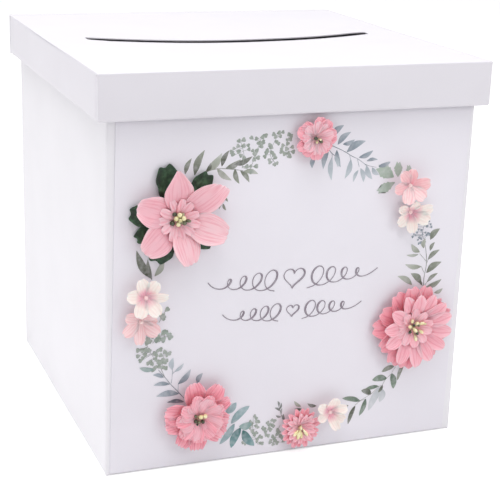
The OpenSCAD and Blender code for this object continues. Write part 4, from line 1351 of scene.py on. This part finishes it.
def heart(z, size):
    """Outline of a heart in the middle, from its point round and back."""
    outline = []
    for k in range(HEART_STEPS + 1):
        t = 2 * math.pi * k / HEART_STEPS + math.pi
        height = 13 * math.cos(t) - 5 * math.cos(2 * t) - 2 * math.cos(3 * t) - math.cos(4 * t)
        outline.append((size * math.sin(t) ** 3, z + size * height / 16))
    return outline


strokes = [(loops(side, *run), 1.0, 0.25) for side in (-1, 1)
           for run in ((11, 48, 119.5, 7.6, 2.8), (8, 38, 98, 6.4, 2.6))]
strokes += [(heart(120.5, 7), 1.0, 0.15), (heart(98.5, 4.2), 0.9, 0.15)]
flourish = [lay_line(pen_line(points), nib, INK_GREY, slant) for points, nib, slant in strokes]
dress(join_as("printed_flourish", flourish, lead=0), "box", ink, "panel_card")

# %% [markdown]
# ## Floor, backdrop and light
# Studio packshots of white goods stand on white and are lit from nearly everywhere, so that the
# sides differ by only a few tones. The even part comes from the world and from the white floor.
# Four lamps shape the box: a large one above and a little in front, one low on the left for the
# bright side, a small one in front on the right, and a wide weak one high in front. Where the
# camera, a reflection or a view through glass looks past the object, the world is plain white.

# %% World and floor
def is_ray(tree, *kinds):
    """A socket that is 1 where the ray is of one of these kinds."""
    rays = add_node(tree, "LightPath").outputs
    seen = rays[kinds[0]]
    for kind in kinds[1:]:
        seen = add_node(tree, "Math", {0: seen, 1: rays[kind]}, operation="MAXIMUM").outputs[0]
    return seen


world = bpy.data.worlds.new("studio_world")
bpy.context.scene.world = world
world.use_nodes = True
tree = world.node_tree
tree.nodes.clear()
seen = is_ray(tree, "Is Camera Ray", "Is Glossy Ray", "Is Transmission Ray")
lit = add_node(tree, "Background", {"Color": linear("#f6f6f8"), "Strength": 0.5})
white = add_node(tree, "Background", {"Color": (1, 1, 1, 1), "Strength": 1.0})
mix = add_node(tree, "MixShader", {0: seen, 1: lit.outputs[0], 2: white.outputs[0]})
add_node(tree, "OutputWorld", {"Surface": mix.outputs[0]})

FLOOR_DROP = 0.2 * MM
floor = start(bpy.ops.mesh.primitive_plane_add, "studio_floor", size=12,
              location=(0, 0, -FLOOR_DROP))
floor_paper, tree, shader = new_material("white_paper_sweep", 0.9)
shader.inputs["Base Color"].default_value = linear("#f4f4f4")
seen = is_ray(tree, "Is Camera Ray", "Is Glossy Ray")
lift = add_node(tree, "Math", {0: seen, 1: 0.5}, operation="MULTIPLY")
tree.links.new(lift.outputs[0], shader.inputs["Emission Strength"])
shader.inputs["Emission Color"].default_value = (1, 1, 1, 1)
floor.data.materials.append(floor_paper)
floor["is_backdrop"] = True

# %% Lamps
def soft_lamp(name, place, aim, wide, power):
    """A square white area lamp that points at a spot, in watts."""
    lamp = bpy.data.lights.new(name, "AREA")
    lamp.size = wide
    lamp.energy = power
    holder = bpy.data.objects.new(name, lamp)
    holder.location = place
    holder.rotation_euler = (Vector(aim) - Vector(place)).to_track_quat("-Z", "Y").to_euler()
    bpy.context.collection.objects.link(holder)


soft_lamp("top_lamp", (-0.25, -0.25, 1.6), (0, 0, 0.2), 1.2, 19.2)
soft_lamp("left_lamp", (-0.9, 0.15, 0.2), (-0.1, 0, 0.12), 0.5, 1.5)
soft_lamp("right_lamp", (0.75, -1.0, 0.75), (0, -0.1, 0.12), 0.5, 2.6)
soft_lamp("front_lamp", (-0.1, -1.5, 1.2), (0, 0, 0.1), 1.2, 2.0)

bpy.context.scene.view_settings.view_transform = "Standard"

# %% Sizes and finish
low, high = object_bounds()
for name, cad, seen_size in zip("xyz", zip(cad_low, cad_high), zip(low, high)):
    print(name, "frame", [round(v / MM, 2) for v in cad], "dressed",
          [round(v / MM, 2) for v in seen_size])
